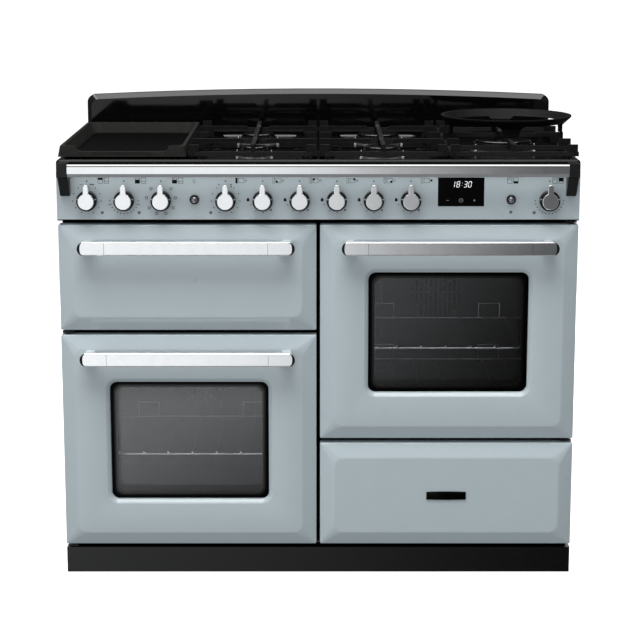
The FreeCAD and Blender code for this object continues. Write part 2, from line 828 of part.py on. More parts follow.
def grill_element():
    """Serpentine element under the grill's roof, held by its two ends in the back wall."""
    z = grill_mid_z + grill_height / 2 - grill_element_drop
    back = frame_back_y + grill_depth
    bend = grill_element_pitch / 2
    front = frame_back_y + grill_element_front_gap + bend
    rear = back - grill_element_front_gap - bend
    x0 = -column_x - grill_element_pitch * (grill_element_passes - 1) / 2
    edges = []
    for i in range(grill_element_passes):
        x = x0 + grill_element_pitch * i
        last = i == grill_element_passes - 1
        far = back if i == 0 or last else rear
        ends = (V(x, far, z), V(x, front, z)) if i % 2 == 0 else (V(x, front, z), V(x, far, z))
        edges.append(Part.LineSegment(*ends).toShape())
        if not last:
            turn_y = front if i % 2 == 0 else rear
            bow = -bend if i % 2 == 0 else bend
            edges.append(Part.Arc(V(x, turn_y, z), V(x + bend, turn_y + bow, z),
                                  V(x + grill_element_pitch, turn_y, z)).toShape())
    path = Part.Wire(edges)
    section = Part.Wire(Part.makeCircle(element_radius, V(x0, back, z), Y_AXIS))
    return path.makePipeShell([section], True, False)


# Shelves, racks and the grill's trivet

def wire_grid(x_mid, y0, y1, z, half, bars):
    """A welded grid: two side rods, two cross rods and thin bars laid over them."""
    sides = [rod(V(x_mid + s * half, y0, z), V(x_mid + s * half, y1, z), rod_radius) for s in SIDES]
    crosses = [rod(V(x_mid - half, y, z), V(x_mid + half, y, z), shelf_cross_radius)
               for y in (y0 + rod_radius, y1 - rod_radius)]
    lift = shelf_cross_radius + shelf_bar_radius - rack_weld
    pitch = half * 2 / (bars + 1)
    thin = []
    for i in range(bars):
        x = x_mid + (i - (bars - 1) / 2) * pitch
        thin.append(rod(V(x, y0, z + lift), V(x, y1, z + lift), shelf_bar_radius))
    return fuse(sides + crosses + thin)


def shelf_stop(x, y, z):
    """A hoop at the back of a shelf that keeps food off the back wall."""
    half = shelf_stop_width / 2
    top = z + shelf_stop_height
    radius = shelf_bar_radius
    posts = [rod(V(x + s * half, y, z), V(x + s * half, y, top), radius) for s in SIDES]
    knuckles = [Part.makeSphere(radius, V(x + s * half, y, top)) for s in SIDES]
    return posts + knuckles + [rod(V(x - half, y, top), V(x + half, y, top), radius)]


def rack_ledges_z(z_mid):
    """Heights of the ledge rods of an oven's side racks."""
    bottom = z_mid - cavity_height / 2
    return [bottom + cavity_height * share for share in rack_levels_shares]


def side_rack(x_mid, z_mid, side):
    """Ladder of rods on an oven's side wall: two uprights and the ledges that shelves slide on."""
    wall_x = x_mid + side * cavity_width / 2
    post_x = wall_x - side * (rod_radius + fit_clearance)
    ledge_x = post_x - side * rack_step
    y0 = frame_back_y + rack_front_gap
    y1 = y0 + rack_depth
    levels = rack_ledges_z(z_mid)
    low = levels[0] - rod_radius * 2
    high = levels[-1] + rod_radius * 2
    posts = [rod(V(post_x, y, low), V(post_x, y, high), rod_radius) for y in (y0 + rod_radius, y1 - rod_radius)]
    return fuse(posts + [rod(V(ledge_x, y0, z), V(ledge_x, y1, z), shelf_cross_radius) for z in levels])


def oven_shelf(x_mid, z_mid, level):
    """One wire shelf resting on the ledges at a level."""
    half = cavity_width / 2 - rod_radius - fit_clearance - rack_step
    z = rack_ledges_z(z_mid)[level] + shelf_cross_radius + rod_radius + fit_clearance
    y0 = frame_back_y + shelf_front_gap
    grid = wire_grid(x_mid, y0, y0 + shelf_depth, z, half, shelf_bars)
    stops = []
    for side in SIDES:
        stops += shelf_stop(x_mid + side * (half - shelf_stop_inset), y0 + shelf_depth - rod_radius, z)
    return fuse([grid] + stops)


def oven_racking():
    """Side racks and shelves of both ovens."""
    pieces = []
    for x, z, levels in ((-column_x, left_oven_z, left_shelf_levels), (column_x, right_oven_z, right_shelf_levels)):
        pieces += [side_rack(x, z, side) for side in SIDES]
        pieces += [oven_shelf(x, z, level) for level in levels]
    return pieces


# Glide-out grill and lower drawer

def runner_channel(open_x, side, y0, length, z_mid):
    """A channel whose open side faces the slider. open_x is the open face, side the way to its web."""
    web_x = open_x + side * runner_width
    x0 = min(open_x, web_x)
    x1 = max(open_x, web_x)
    half = runner_height / 2
    block = box(x0, x1, y0, y0 + length, z_mid - half, z_mid + half)
    slot_end = web_x - side * runner_wall
    slot_open = open_x - side * cut_overrun
    slot = box(min(slot_open, slot_end), max(slot_open, slot_end), y0 - cut_overrun, y0 + length + cut_overrun,
               z_mid - half + runner_wall, z_mid + half - runner_wall)
    return cut(block, [slot])


def slider_bar(open_x, side, y0, length, z_mid):
    """The bar that runs in a channel and stands out of it as a ledge."""
    tip = open_x + side * (runner_width - runner_wall - slider_clearance)
    root = open_x - side * slider_ledge
    half = runner_height / 2 - runner_wall - slider_clearance
    return box(min(tip, root), max(tip, root), y0, y0 + length, z_mid - half, z_mid + half)


def grill_runner_z():
    """Middle height of the grill's runners."""
    return grill_mid_z - grill_height / 2 + grill_runner_lift + runner_height / 2


def grill_open_x(side):
    """Open face of a grill runner, which is fixed to the compartment's side wall."""
    return -column_x + side * (grill_width / 2 - runner_width)


def drawer_open_x(side):
    """Open face of a drawer runner, just outside the drawer's side."""
    return column_x + side * (drawer_width / 2 + fit_clearance)


def drawer_runner_z():
    """Middle height of the drawer's runners."""
    return floor_top_z + drawer_runner_rise + runner_height / 2


def runner_rails():
    """The four fixed channels. The drawer's stand on the floor pan on a folded foot."""
    rails = [runner_channel(grill_open_x(s), s, frame_back_y, runner_length, grill_runner_z()) for s in SIDES]
    for side in SIDES:
        open_x = drawer_open_x(side)
        channel = runner_channel(open_x, side, frame_back_y, drawer_runner_length, drawer_runner_z())
        web_x = open_x + side * runner_width
        inner = web_x - side * runner_wall
        outer = web_x + side * drawer_runner_foot
        y1 = frame_back_y + drawer_runner_length
        leg = box(min(web_x, inner), max(web_x, inner), frame_back_y, y1, floor_top_z, drawer_runner_z())
        foot = box(min(inner, outer), max(inner, outer), frame_back_y, y1, floor_top_z, floor_top_z + runner_wall)
        rails.append(fuse([channel, leg, foot]))
    return rails


def grill_carriage():
    """Sliders joined by the lining plate behind the grill's front and by a rear bar under the pan."""
    half = front_width / 2 - grill_back_inset
    y0 = front_back_y
    plate = box(-column_x - half, -column_x + half, y0, y0 + carriage_plate, low_left_z + grill_back_inset,
                fronts_top_z - grill_back_inset)
    z_mid = grill_runner_z()
    sliders = [slider_bar(grill_open_x(s), s, y0, slider_length, z_mid) for s in SIDES]
    bottom = z_mid - runner_height / 2 + runner_wall + slider_clearance
    rear = y0 + slider_length
    bar = box(grill_open_x(-1), grill_open_x(1), rear - carriage_bar, rear, bottom, bottom + sheet)
    return fuse([plate, bar] + sliders)


def grill_pan():
    """Enamelled grill pan that hangs by its rim on the sliders, and the wire trivet that stands in it."""
    ledge_z = grill_runner_z() + runner_height / 2 - runner_wall - slider_clearance
    inner = grill_open_x(1) + column_x - slider_ledge - pan_side_gap
    rim = inner + pan_flange + pan_side_gap
    y0 = front_back_y + carriage_plate + pan_front_gap
    y1 = y0 + pan_depth
    bottom = ledge_z - pan_height + pan_wall
    x = -column_x
    tub = level_slab(x - inner, x + inner, y0, y1, pan_radius, bottom, ledge_z + pan_wall)
    hollow = level_slab(x - inner + pan_wall, x + inner - pan_wall, y0 + pan_wall, y1 - pan_wall,
                        pan_radius - pan_wall, bottom + pan_wall, ledge_z + pan_wall + cut_overrun)
    flange = level_slab(x - rim, x + rim, y0, y1, pan_radius, ledge_z, ledge_z + pan_wall)
    pan = cut(fuse([tub, flange]), [hollow])
    half = inner - pan_wall - trivet_margin
    feet_z = bottom + pan_wall
    z = feet_z + trivet_height
    t0 = y0 + pan_radius + trivet_margin
    t1 = y1 - pan_radius - trivet_margin
    grid = wire_grid(x, t0, t1, z, half, trivet_bars)
    feet = [rod(V(x + s * half, y, feet_z), V(x + s * half, y, z), shelf_cross_radius)
            for s in SIDES for y in (t0 + trivet_margin, t1 - trivet_margin)]
    return [pan, fuse([grid] + feet)]


def drawer_box():
    """Open steel box with a lining plate behind the drawer's front and a slider on each side."""
    half = drawer_width / 2
    y0 = front_back_y
    z0 = floor_top_z + drawer_lift
    z1 = z0 + drawer_height
    wall = drawer_wall
    tub = box(column_x - half, column_x + half, y0, y0 + drawer_depth, z0, z1)
    hollow = box(column_x - half + wall, column_x + half - wall, y0 + wall, y0 + drawer_depth - wall,
                 z0 + wall, z1 + cut_overrun)
    plate_half = front_width / 2 - grill_back_inset
    plate = box(column_x - plate_half, column_x + plate_half, y0, y0 + wall, fronts_bottom_z + grill_back_inset,
                tall_right_z - front_gap - grill_back_inset)
    z_mid = drawer_runner_z()
    sliders = []
    for side in SIDES:
        tip = drawer_open_x(side) + side * (runner_width - runner_wall - slider_clearance)
        root = column_x + side * (half - wall / 2)
        reach = runner_height / 2 - runner_wall - slider_clearance
        sliders.append(box(min(tip, root), max(tip, root), y0, y0 + drawer_slider_length,
                           z_mid - reach, z_mid + reach))
    return fuse([cut(tub, [hollow]), plate] + sliders)


# Hob

def hob_tray():
    """Enamelled hob: a rolled rim round a sunk well, with holes for the burners and the hotplate."""
    block = box(-half_width, half_width, hob_front_y, hob_rear_y, hob_bottom_z, hob_height)
    corners = [e for e in block.Edges if e.BoundBox.ZLength > hob_depth / 2 and e.BoundBox.YMax < 0]
    block = block.makeFillet(hob_edge_radius, corners)
    top = [e for e in block.Edges if e.BoundBox.ZMin > hob_height - fit_clearance
           and e.BoundBox.YMin < hob_rear_y - fit_clearance]
    block = block.makeFillet(hob_roll_radius, top)
    rim = hob_rim
    well = level_slab(-half_width + rim, half_width - rim, hob_front_y + rim, hob_rear_y - rim, mouth_radius,
                      well_z, hob_height + cut_overrun)
    skirt = hob_skirt
    under = box(-half_width + skirt, half_width - skirt, hob_front_y + skirt, hob_rear_y - skirt,
                hob_bottom_z - cut_overrun, well_z - hob_sheet)
    bowls = []
    tools = []
    for x, y in burner_places():
        bowls.append(rod(V(x, y, dish_z - hob_sheet), V(x, y, well_z - hob_sheet / 2), hob_dish_radius))
        tools.append(Part.makeCone(hob_dish_radius - hob_dish_slope, hob_dish_radius, hob_dish_depth, V(x, y, dish_z)))
        tools.append(rod(V(x, y, hob_bottom_z), V(x, y, hob_height), burner_spigot_radius + fit_clearance))
    seat = hotplate_seat
    tools.append(level_slab(griddle_x - hotplate_width / 2 + seat, griddle_x + hotplate_width / 2 - seat,
                            wok_y - hotplate_depth / 2 + seat, wok_y + hotplate_depth / 2 - seat,
                            hotplate_radius, hob_bottom_z, hob_height))
    return cut(fuse([cut(block, [well, under])] + bowls), tools)


def burner_places():
    """Centres of the four ring burners and, last, of the wok burner."""
    return [(x, y) for x in burner_xs for y in burner_ys] + [(wok_x, wok_y)]


def upstand_outline(inset, y):
    """Outline of the upstand from the front: straight sides, round shoulders and an arched top."""
    half = half_width - inset
    corner = upstand_corner
    shoulder = top_z - upstand_arch - inset
    bottom = hob_bottom_z + upstand_foot
    near = corner * diagonal_share
    edges = [
        Part.LineSegment(V(-half, y, bottom), V(-half, y, shoulder - corner)).toShape(),
        Part.Arc(V(-half, y, shoulder - corner), V(-half + near, y, shoulder - near),
                 V(-half + corner, y, shoulder)).toShape(),
        Part.Arc(V(-half + corner, y, shoulder), V(0, y, top_z - inset), V(half - corner, y, shoulder)).toShape(),
        Part.Arc(V(half - corner, y, shoulder), V(half - near, y, shoulder - near),
                 V(half, y, shoulder - corner)).toShape(),
        Part.LineSegment(V(half, y, shoulder - corner), V(half, y, bottom)).toShape(),
        Part.LineSegment(V(half, y, bottom), V(-half, y, bottom)).toShape(),
    ]
    return Part.Wire(edges)


def upstand():
    """Arched back guard with a bevel round its face, open at the back, standing behind the hob on a foot."""
    front = hob_rear_y
    bevel_y = front + upstand_bevel
    bevel = loft(upstand_outline(upstand_bevel, front), upstand_outline(0, bevel_y))
    body = Part.Face(upstand_outline(0, bevel_y)).extrude(V(0, rear_y - bevel_y, 0))
    foot = box(-half_width + upstand_bevel, half_width - upstand_bevel, front, rear_y, hob_bottom_z,
               hob_bottom_z + upstand_foot + cut_overrun)
    skin = upstand_skin
    hollow_y = front + skin
    reach = rear_y + cut_overrun - hollow_y
    hollow = Part.Face(upstand_outline(upstand_bevel + skin, hollow_y)).extrude(V(0, reach, 0))
    under = box(-half_width + upstand_bevel + skin, half_width - upstand_bevel - skin, hollow_y, rear_y + cut_overrun,
                hob_bottom_z + skin, hob_bottom_z + upstand_foot + cut_overrun)
    return cut(fuse([bevel, body, foot]), [hollow, under])


def burner_crown(x, y, cap_radius):
    """Burner body: spigot through the hob, flange in its dish and a slotted ring."""
    radius = cap_radius + burner_cap_inset
    top = dish_z + burner_flange + burner_height
    middle = dish_z + burner_flange / 2
    solid = fuse([
        rod(V(x, y, dish_z - burner_spigot), V(x, y, middle), burner_spigot_radius),
        Part.makeCone(radius + burner_flange_width, radius, burner_flange, V(x, y, dish_z)),
        rod(V(x, y, middle), V(x, y, top), radius),
    ])
    half = burner_slot_width / 2
    slots = int(2 * math.pi * radius / burner_slot_pitch)
    tools = []
    for i in range(slots):
        slot = box(x + radius - burner_slot_depth, x + radius + cut_overrun, y - half, y + half,
                   top - burner_slot_height, top + cut_overrun)
        slot.rotate(V(x, y, 0), Z_AXIS, 360 * i / slots)
        tools.append(slot)
    return cut(solid, tools)


def burner_cap_list():
    """Cap radii in the order of the burner places."""
    return list(burner_cap_radii) + [wok_cap_radius]


def burner_crowns():
    """The four ring burners and the wider wok burner."""
    return [burner_crown(x, y, radius) for (x, y), radius in zip(burner_places(), burner_cap_list())]


def burner_caps():
    """Enamelled caps that lie on the crowns. The wok burner's has an open middle."""
    z0 = dish_z + burner_flange + burner_height
    z1 = z0 + burner_cap
    caps = []
    for (x, y), radius in zip(burner_places(), burner_cap_list()):
        cap = rod(V(x, y, z0), V(x, y, z1), radius)
        caps.append(cap.makeFillet(burner_cap_edge, [e for e in cap.Edges if e.BoundBox.ZMin > z0 + burner_cap / 2]))
    x, y = burner_places()[-1]
    caps[-1] = cut(caps[-1], [rod(V(x, y, z0 - cut_overrun), V(x, y, z1 + cut_overrun), wok_cap_well)])
    return caps


def cast_bar(start, end, z0, z1, base_width, top_width):
    """A cast bar with drafted sides between two points on plan."""
    along = V(end[0] - start[0], end[1] - start[1], 0)
    across = V(-along.y, along.x, 0).normalize()
    foot = V(start[0], start[1], z0)
    head = V(start[0], start[1], z1)
    section = [foot - across * base_width / 2, foot + across * base_width / 2,
               head + across * top_width / 2, head - across * top_width / 2]
    return polygon_prism(section, along)


def finger(start, end):
    """A raised finger from a rail towards a burner, with a sloped tip."""
    along = V(end[0] - start[0], end[1] - start[1], 0)
    reach = along.Length
    along.normalize()
    across = V(-along.y, along.x, 0) * finger_width
    base = V(start[0], start[1], 0) - across / 2
    low = finger_z - finger_depth
    tip = finger_tip_drop

    def at(distance, z):
        return base + along * distance + Z_AXIS * z

    side = [at(0, rail_z0), at(finger_block, rail_z0), at(finger_block + tip, low), at(reach, low),
            at(reach, finger_z - tip), at(reach - tip, finger_z), at(0, finger_z)]
    return polygon_prism(side, across)


def rail_block(x, y, way, length):
    """A block on a side rail, from the rail's outer edge inwards, as high as the fingers."""
    outer = x - way * rail_top_width / 2
    inner = outer + way * length
    half = finger_width / 2
    return box(min(outer, inner), max(outer, inner), y - half, y + half, rail_z0, finger_z)


def support_frame(x_mid):
    """Outer rails, corner blocks and feet of a pan support."""
    inset = rail_base_width / 2
    x0 = x_mid - support_width / 2 + inset
    x1 = x_mid + support_width / 2 - inset
    y0 = support_y + inset
    y1 = support_end_y - inset
    bars = [cast_bar((x0 - inset, y), (x1 + inset, y), rail_z0, rail_z1, rail_base_width, rail_top_width)
            for y in (y0, y1)]
    bars += [cast_bar((x, y0 - inset), (x, y1 + inset), rail_z0, rail_z1, rail_base_width, rail_top_width)
             for x in (x0, x1)]
    stance = support_width / 2 - support_foot_inset
    for side in SIDES:
        for y in (y0, y1):
            foot_x = x_mid + side * stance
            bars.append(rod(V(foot_x, y, well_z), V(foot_x, y, rail_z1 - finger_tip_drop), support_foot_radius))
    for x, way in ((x0, 1), (x1, -1)):
        for y in (y0, y1):
            bars.append(rail_block(x, y, way, corner_block))
    return bars, (x0, x1, y0, y1)


def pan_support(x_mid, centres, tip):
    """Cast-iron support: a frame and a cross of fingers over each burner centre."""
    bars, (x0, x1, y0, y1) = support_frame(x_mid)
    edge = rail_top_width / 2
    for y in centres:
        bars.append(finger((x0 - edge, y), (x_mid - tip, y)))
        bars.append(finger((x1 + edge, y), (x_mid + tip, y)))
    bars.append(finger((x_mid, y0), (x_mid, centres[0] - tip)))
    bars.append(finger((x_mid, y1), (x_mid, centres[-1] + tip)))
    if len(centres) > 1:
        middle = (centres[0] + centres[-1]) / 2
        bars.append(cast_bar((x0, middle), (x1, middle), rail_z0, rail_z1, rail_base_width, rail_top_width))
        bars.append(finger((x_mid, middle), (x_mid, centres[0] + tip)))
        bars.append(finger((x_mid, middle), (x_mid, centres[-1] - tip)))
        for x, way in ((x0, 1), (x1, -1)):
            bars.append(rail_block(x, middle, way, finger_block))
    else:
        for y in burner_ys:
            bars.append(cast_bar((x0, y), (x1, y), rail_z0, rail_z1, rail_base_width, rail_top_width))
            for x, way in ((x0, 1), (x1, -1)):
                bars.append(rail_block(x, y, way, finger_block))
    return fuse(bars)


def wok_ring():
    """Cast cradle: a flared rim on four curved legs that stand on the support's fingers."""
    throat_z = finger_z + wok_throat_rise
    rim_z = finger_z + wok_rim_rise
    band_z = rim_z - wok_band
    wall = wok_wall
    foot_radius_out = wok_throat_radius + wall
    profile = [V(wok_throat_radius, 0, finger_z), V(wok_throat_radius, 0, throat_z),
               V(wok_rim_radius - wall, 0, rim_z), V(wok_rim_radius, 0, rim_z), V(wok_rim_radius, 0, rim_z - wall / 2),
               V(foot_radius_out, 0, throat_z), V(foot_radius_out, 0, finger_z)]
    shell = Part.Face(Part.makePolygon(profile + [profile[0]])).revolve(V(0, 0, 0), Z_AXIS, 360)
    rim = shell.common(rod(V(0, 0, band_z), V(0, 0, rim_z + cut_overrun), wok_rim_radius + cut_overrun))
    legs = []
    for i in range(4):
        shape = wok_leg_shape(band_z + cut_overrun)
        shape.rotate(V(0, 0, 0), Z_AXIS, 90 * i)
        legs.append(shell.common(shape))
    ring = fuse([rim] + legs)
    ring.translate(V(wok_ring_x, wok_y, 0))
    return ring


def wok_leg_shape(top_z):
    """Outline of a leg: straight at its foot, then flared in two quarter arcs up to the rim."""
    half = wok_leg_width / 2
    flare = wok_leg_flare
    top = half + flare
    bend_z = top_z - flare
    near_x = half + flare * diagonal_share
    near_z = top_z - flare * diagonal_share
    way = V(0, wok_rim_radius + cut_overrun, 0)
    edges = [Part.LineSegment(V(-half, 0, finger_z), V(half, 0, finger_z)).toShape(),
             Part.LineSegment(V(half, 0, finger_z), V(half, 0, bend_z)).toShape(),
             Part.Arc(V(half, 0, bend_z), V(near_x, 0, near_z), V(top, 0, top_z)).toShape(),
             Part.LineSegment(V(top, 0, top_z), V(-top, 0, top_z)).toShape(),
             Part.Arc(V(-top, 0, top_z), V(-near_x, 0, near_z), V(-half, 0, bend_z)).toShape(),
             Part.LineSegment(V(-half, 0, bend_z), V(-half, 0, finger_z)).toShape()]
    return Part.Face(Part.Wire(edges)).extrude(way)


def griddle():
    """Deep cast griddle with drafted walls and a lowered front lip with a grip recess."""
    half = support_width / 2
    x0 = griddle_x - half
    x1 = griddle_x + half
    y0 = support_y
    y1 = support_end_y
    z0 = hotplate_z
    z1 = z0 + griddle_height
    draft = griddle_draft
    body = loft(level_outline(x0, x1, y0, y1, griddle_radius, z0 + griddle_foot),
                level_outline(x0 + draft, x1 - draft, y0 + draft, y1 - draft, griddle_radius, z1))
    step = griddle_foot_inset
    foot = level_slab(x0 + step, x1 - step, y0 + step, y1 - step, griddle_inner_radius, z0,
                      z0 + griddle_foot + cut_overrun)
    outer = fuse([body, foot])
    wall = griddle_wall + draft
    sole = step + griddle_wall
    floor = level_outline(x0 + sole, x1 - sole, y0 + sole, y1 - sole, griddle_inner_radius, z0 + griddle_floor)
    mouth = level_outline(x0 + wall, x1 - wall, y0 + wall, y1 - wall, griddle_inner_radius, z1)
    top = level_slab(x0 + wall, x1 - wall, y0 + wall, y1 - wall, griddle_inner_radius, z1, z1 + cut_overrun)
    inset = griddle_front_cut_inset
    lip = upright_slab(x0 + inset, x1 - inset, z1 - griddle_front_cut, z1 + griddle_front_cut * 2,
                       griddle_front_cut - fit_clearance, y0 - cut_overrun, y0 + griddle_lip_depth)
    grip_half = griddle_grip_length / 2
    grip_z = z0 + griddle_foot + griddle_grip_depth
    grip = box(griddle_x - grip_half, griddle_x + grip_half, y0 - cut_overrun, y0 + griddle_grip_depth,
               grip_z, grip_z + griddle_grip_height)
    return cut(outer, [loft(floor, mouth), top, lip, grip])


def griddle_hotplate():
    """Glass-ceramic plate over the griddle's heating zone, lying in the hob's well."""
    return level_slab(griddle_x - hotplate_width / 2, griddle_x + hotplate_width / 2, wok_y - hotplate_depth / 2,
                      wok_y + hotplate_depth / 2, hotplate_radius + hotplate_seat / 2, well_z, hotplate_z)


# Control panel

def hob_knob_xs():
    """Places of the hotplate's knob and the five burner knobs, centred on the panel."""
    return [(i - (hob_knobs - 1) / 2) * knob_pitch for i in range(hob_knobs)]


def left_knob_xs():
    """Places of the grill's and left oven's knobs, counted from the left edge."""
    return [-half_width + knob_edge + i * knob_pitch for i in range(left_knobs)]


def right_knob_x():
    """Place of the right oven's knob."""
    return half_width - knob_edge


def button_xs():
    """Places of the light button and the drawer warmer's button."""
    return [left_knob_xs()[-1] + light_button_step, right_knob_x() - warmer_button_step]


def knob_xs():
    """All knob places from left to right."""
    return left_knob_xs() + hob_knob_xs() + [right_knob_x()]


def control_panel():
    """Enamelled fascia: a folded tray with holes for the stems, the buttons and the clock."""
    skin = panel_skin
    tray = box(-half_width, half_width, panel_y, frame_y, panel_bottom_z, hob_bottom_z)
    hollow = box(-half_width + skin, half_width - skin, panel_back_y, frame_y + cut_overrun,
                 panel_bottom_z + skin, hob_bottom_z - skin)
    y0 = panel_y - cut_overrun
    y1 = panel_back_y + cut_overrun
    tools = [rod(V(x, y0, knob_z), V(x, y1, knob_z), knob_stem_radius + fit_clearance) for x in knob_xs()]
    tools += [rod(V(x, y0, button_z), V(x, y1, button_z), button_stem_radius + fit_clearance) for x in button_xs()]
    half = clock_width / 2 + fit_clearance
    z0 = panel_bottom_z + clock_base - fit_clearance
    tools.append(box(clock_x - half, clock_x + half, y0, y1, z0, z0 + clock_height + fit_clearance * 2))
    return cut(tray, [hollow] + tools)


def clock_display():
    """Clock: a glass front flush with the fascia, clamped behind it by a flange, and its case."""
    half = clock_width / 2
    z0 = panel_bottom_z + clock_base
    z1 = z0 + clock_height
    edge = clock_flange
    flange_back = panel_back_y + clock_flange_depth
    front = box(clock_x - half, clock_x + half, panel_y - clock_proud, flange_back, z0, z1)
    flange = box(clock_x - half - edge, clock_x + half + edge, panel_back_y, flange_back, z0 - edge, z1 + edge)
    case = box(clock_x - half + edge, clock_x + half - edge, panel_back_y, panel_back_y + clock_body,
               z0 + edge, z1 - edge)
    return fuse([front, flange, case])


def control_bezels():
    """Rings on the fascia round every knob and both buttons."""
    rings = []
    bezels = [(x, knob_z, bezel_radius, bezel_bore, bezel_depth) for x in knob_xs()]
    bezels += [(x, button_z, button_bezel_radius, button_radius + button_gap, button_bezel_depth)
               for x in button_xs()]
    for x, z, radius, bore, depth in bezels:
        front = panel_y - depth
        ring = rod(V(x, panel_y, z), V(x, front, z), radius)
        ring = ring.makeFillet(bezel_edge, edges_at_y(ring, front))
        rings.append(cut(ring, [rod(V(x, panel_y + cut_overrun, z), V(x, front - cut_overrun, z), bore)]))
    return rings


def knob(x):
    """Round knob with a pointer tongue, a hub inside its bezel and a stem into the tap or switch."""
    front = panel_y - knob_reach
    back = front + knob_depth
    head = rod(V(x, front, knob_z), V(x, back, knob_z), knob_radius)
    half = knob_tongue_width / 2
    tongue = upright_slab(x - half, x + half, knob_z, knob_z + knob_tongue, half - fit_clearance, front,
                          front + knob_tongue_depth)
    face = fuse([head, tongue])
    face = face.makeFillet(knob_edge_radius, edges_at_y(face, front))
    hub = rod(V(x, back - knob_depth / 2, knob_z), V(x, panel_y - fit_clearance, knob_z), knob_hub_radius)
    stem = rod(V(x, back - knob_depth / 2, knob_z), V(x, panel_back_y + knob_stem_length, knob_z), knob_stem_radius)
    return fuse([face, hub, stem])


def push_button(x):
    """Round push button with a domed edge and a stem to its switch."""
    front = panel_y - button_proud
    back = panel_y - button_travel - fit_clearance
    cap = rod(V(x, front, button_z), V(x, back, button_z), button_radius)
    cap = cap.makeFillet(button_edge, edges_at_y(cap, front))
    tip = panel_back_y + button_stem_length
    return fuse([cap, rod(V(x, front / 2 + back / 2, button_z), V(x, tip, button_z), button_stem_radius)])


def stem_socket(x, z, radius, length):
    """Bore behind the fascia for a stem, as a cutter."""
    return rod(V(x, panel_back_y - cut_overrun, z), V(x, panel_back_y + length, z), radius + running_clearance)


def gas_rail():
    """Square gas manifold with the inlet pipe to the back, and the five burner taps on it."""
    y0 = panel_back_y + tap_depth
    xs = hob_knob_xs()[1:]
    bar = box(xs[0] - manifold_end, inlet_x + manifold_size, y0, y0 + manifold_size,
              knob_z - manifold_size / 2, knob_z + manifold_size / 2)
    pipe = rod(V(inlet_x, y0 + manifold_size / 2, knob_z), V(inlet_x, back_y + inlet_flange, knob_z), inlet_pipe_radius)
    nut = rod(V(inlet_x, back_y, knob_z), V(inlet_x, back_y + inlet_flange, knob_z), inlet_flange_radius)
    spigot = rod(V(inlet_x, back_y, knob_z), V(inlet_x, back_y + inlet_flange + inlet_length, knob_z), inlet_radius)
    pieces = [fuse([bar, pipe, nut, spigot])]
    half = tap_width / 2
    for x in xs:
        body = box(x - half, x + half, panel_back_y, y0, knob_z - tap_height / 2, knob_z + tap_height / 2)
        nose = [e for e in body.Edges if e.BoundBox.YLength > tap_depth / 2]
        body = body.makeFillet(tap_width / 4, nose)
        pieces.append(cut(body, [stem_socket(x, knob_z, knob_stem_radius, knob_stem_length + fit_clearance)]))
    return pieces


def oven_switches():
    """Round switches and thermostats behind the other knobs, and the two button switches."""
    places = [(x, knob_z, switch_radius, knob_stem_radius, knob_stem_length) for x in
              left_knob_xs() + hob_knob_xs()[:1] + [right_knob_x()]]
    places += [(x, button_z, button_bezel_radius, button_stem_radius, button_stem_length + button_travel)
               for x in button_xs()]
    pieces = []
    for x, z, radius, stem, length in places:
        body = rod(V(x, panel_back_y, z), V(x, panel_back_y + switch_depth, z), radius)
        pieces.append(cut(body, [stem_socket(x, z, stem, length + fit_clearance)]))
    return pieces


# Handrail

def handrail_bar():
    """Flat-faced bar across the front of the hob, bevelled above and below its face."""
    x0 = -rail_length / 2
    front = rail_front_y
    back = front + rail_depth
    face_top = rail_z + rail_height
    top = face_top + rail_top_rise
    bottom = rail_z - rail_bottom_drop
    section = [V(x0, front, rail_z), V(x0, front, face_top), V(x0, front + rail_top_set, top), V(x0, back, top),
               V(x0, back, bottom), V(x0, front + rail_bottom_set, bottom)]
    return polygon_prism(section, V(rail_length, 0, 0))


def handrail_bracket():
    """Right-hand bracket: a head that takes the bar's end and a tail that tapers down the fascia."""
    x0 = rail_length / 2
    head_z0 = rail_z - rail_bottom_drop
    head_z1 = rail_z + rail_height + bracket_head
    tail_z = rail_z - bracket_tail
    depth = bracket_tail_depth
    front = rail_front_y
    hob_gap = hob_front_y - fit_clearance
    side = [V(x0, panel_y, tail_z), V(x0, panel_y - depth, tail_z), V(x0, front + rail_depth, head_z0 - bracket_head),
            V(x0, front, head_z0), V(x0, front, head_z1), V(x0, hob_gap, head_z1),
            V(x0, hob_gap, hob_bottom_z - fit_clearance), V(x0, panel_y, hob_bottom_z - fit_clearance)]
    solid = polygon_prism(side, V(bracket_width, 0, 0))
    x1 = x0 + bracket_width
    low = tail_z - cut_overrun
    slope = bracket_chamfer
    y0 = front - cut_overrun
    wedge = [V(x1 + cut_overrun, y0, low), V(x1 - slope, y0, low), V(x1 - slope / 2, y0, tail_z + slope),
             V(x1, y0, head_z0), V(x1 + cut_overrun, y0, head_z0)]
    return cut(solid, [polygon_prism(wedge, V(0, panel_y - y0 + cut_overrun, 0))])


def handrail_brackets():
    """The pair of brackets."""
    right = handrail_bracket()
    return [mirrored(right), right]


KNOB_NAMES = ["grill_knob", "left_oven_temperature_knob", "left_oven_function_knob", "hotplate_knob",
              "burner_knob_1", "burner_knob_2", "burner_knob_3", "burner_knob_4", "burner_knob_5",
              "right_oven_knob"]
BUTTON_NAMES = ["light_button", "drawer_warmer_button"]


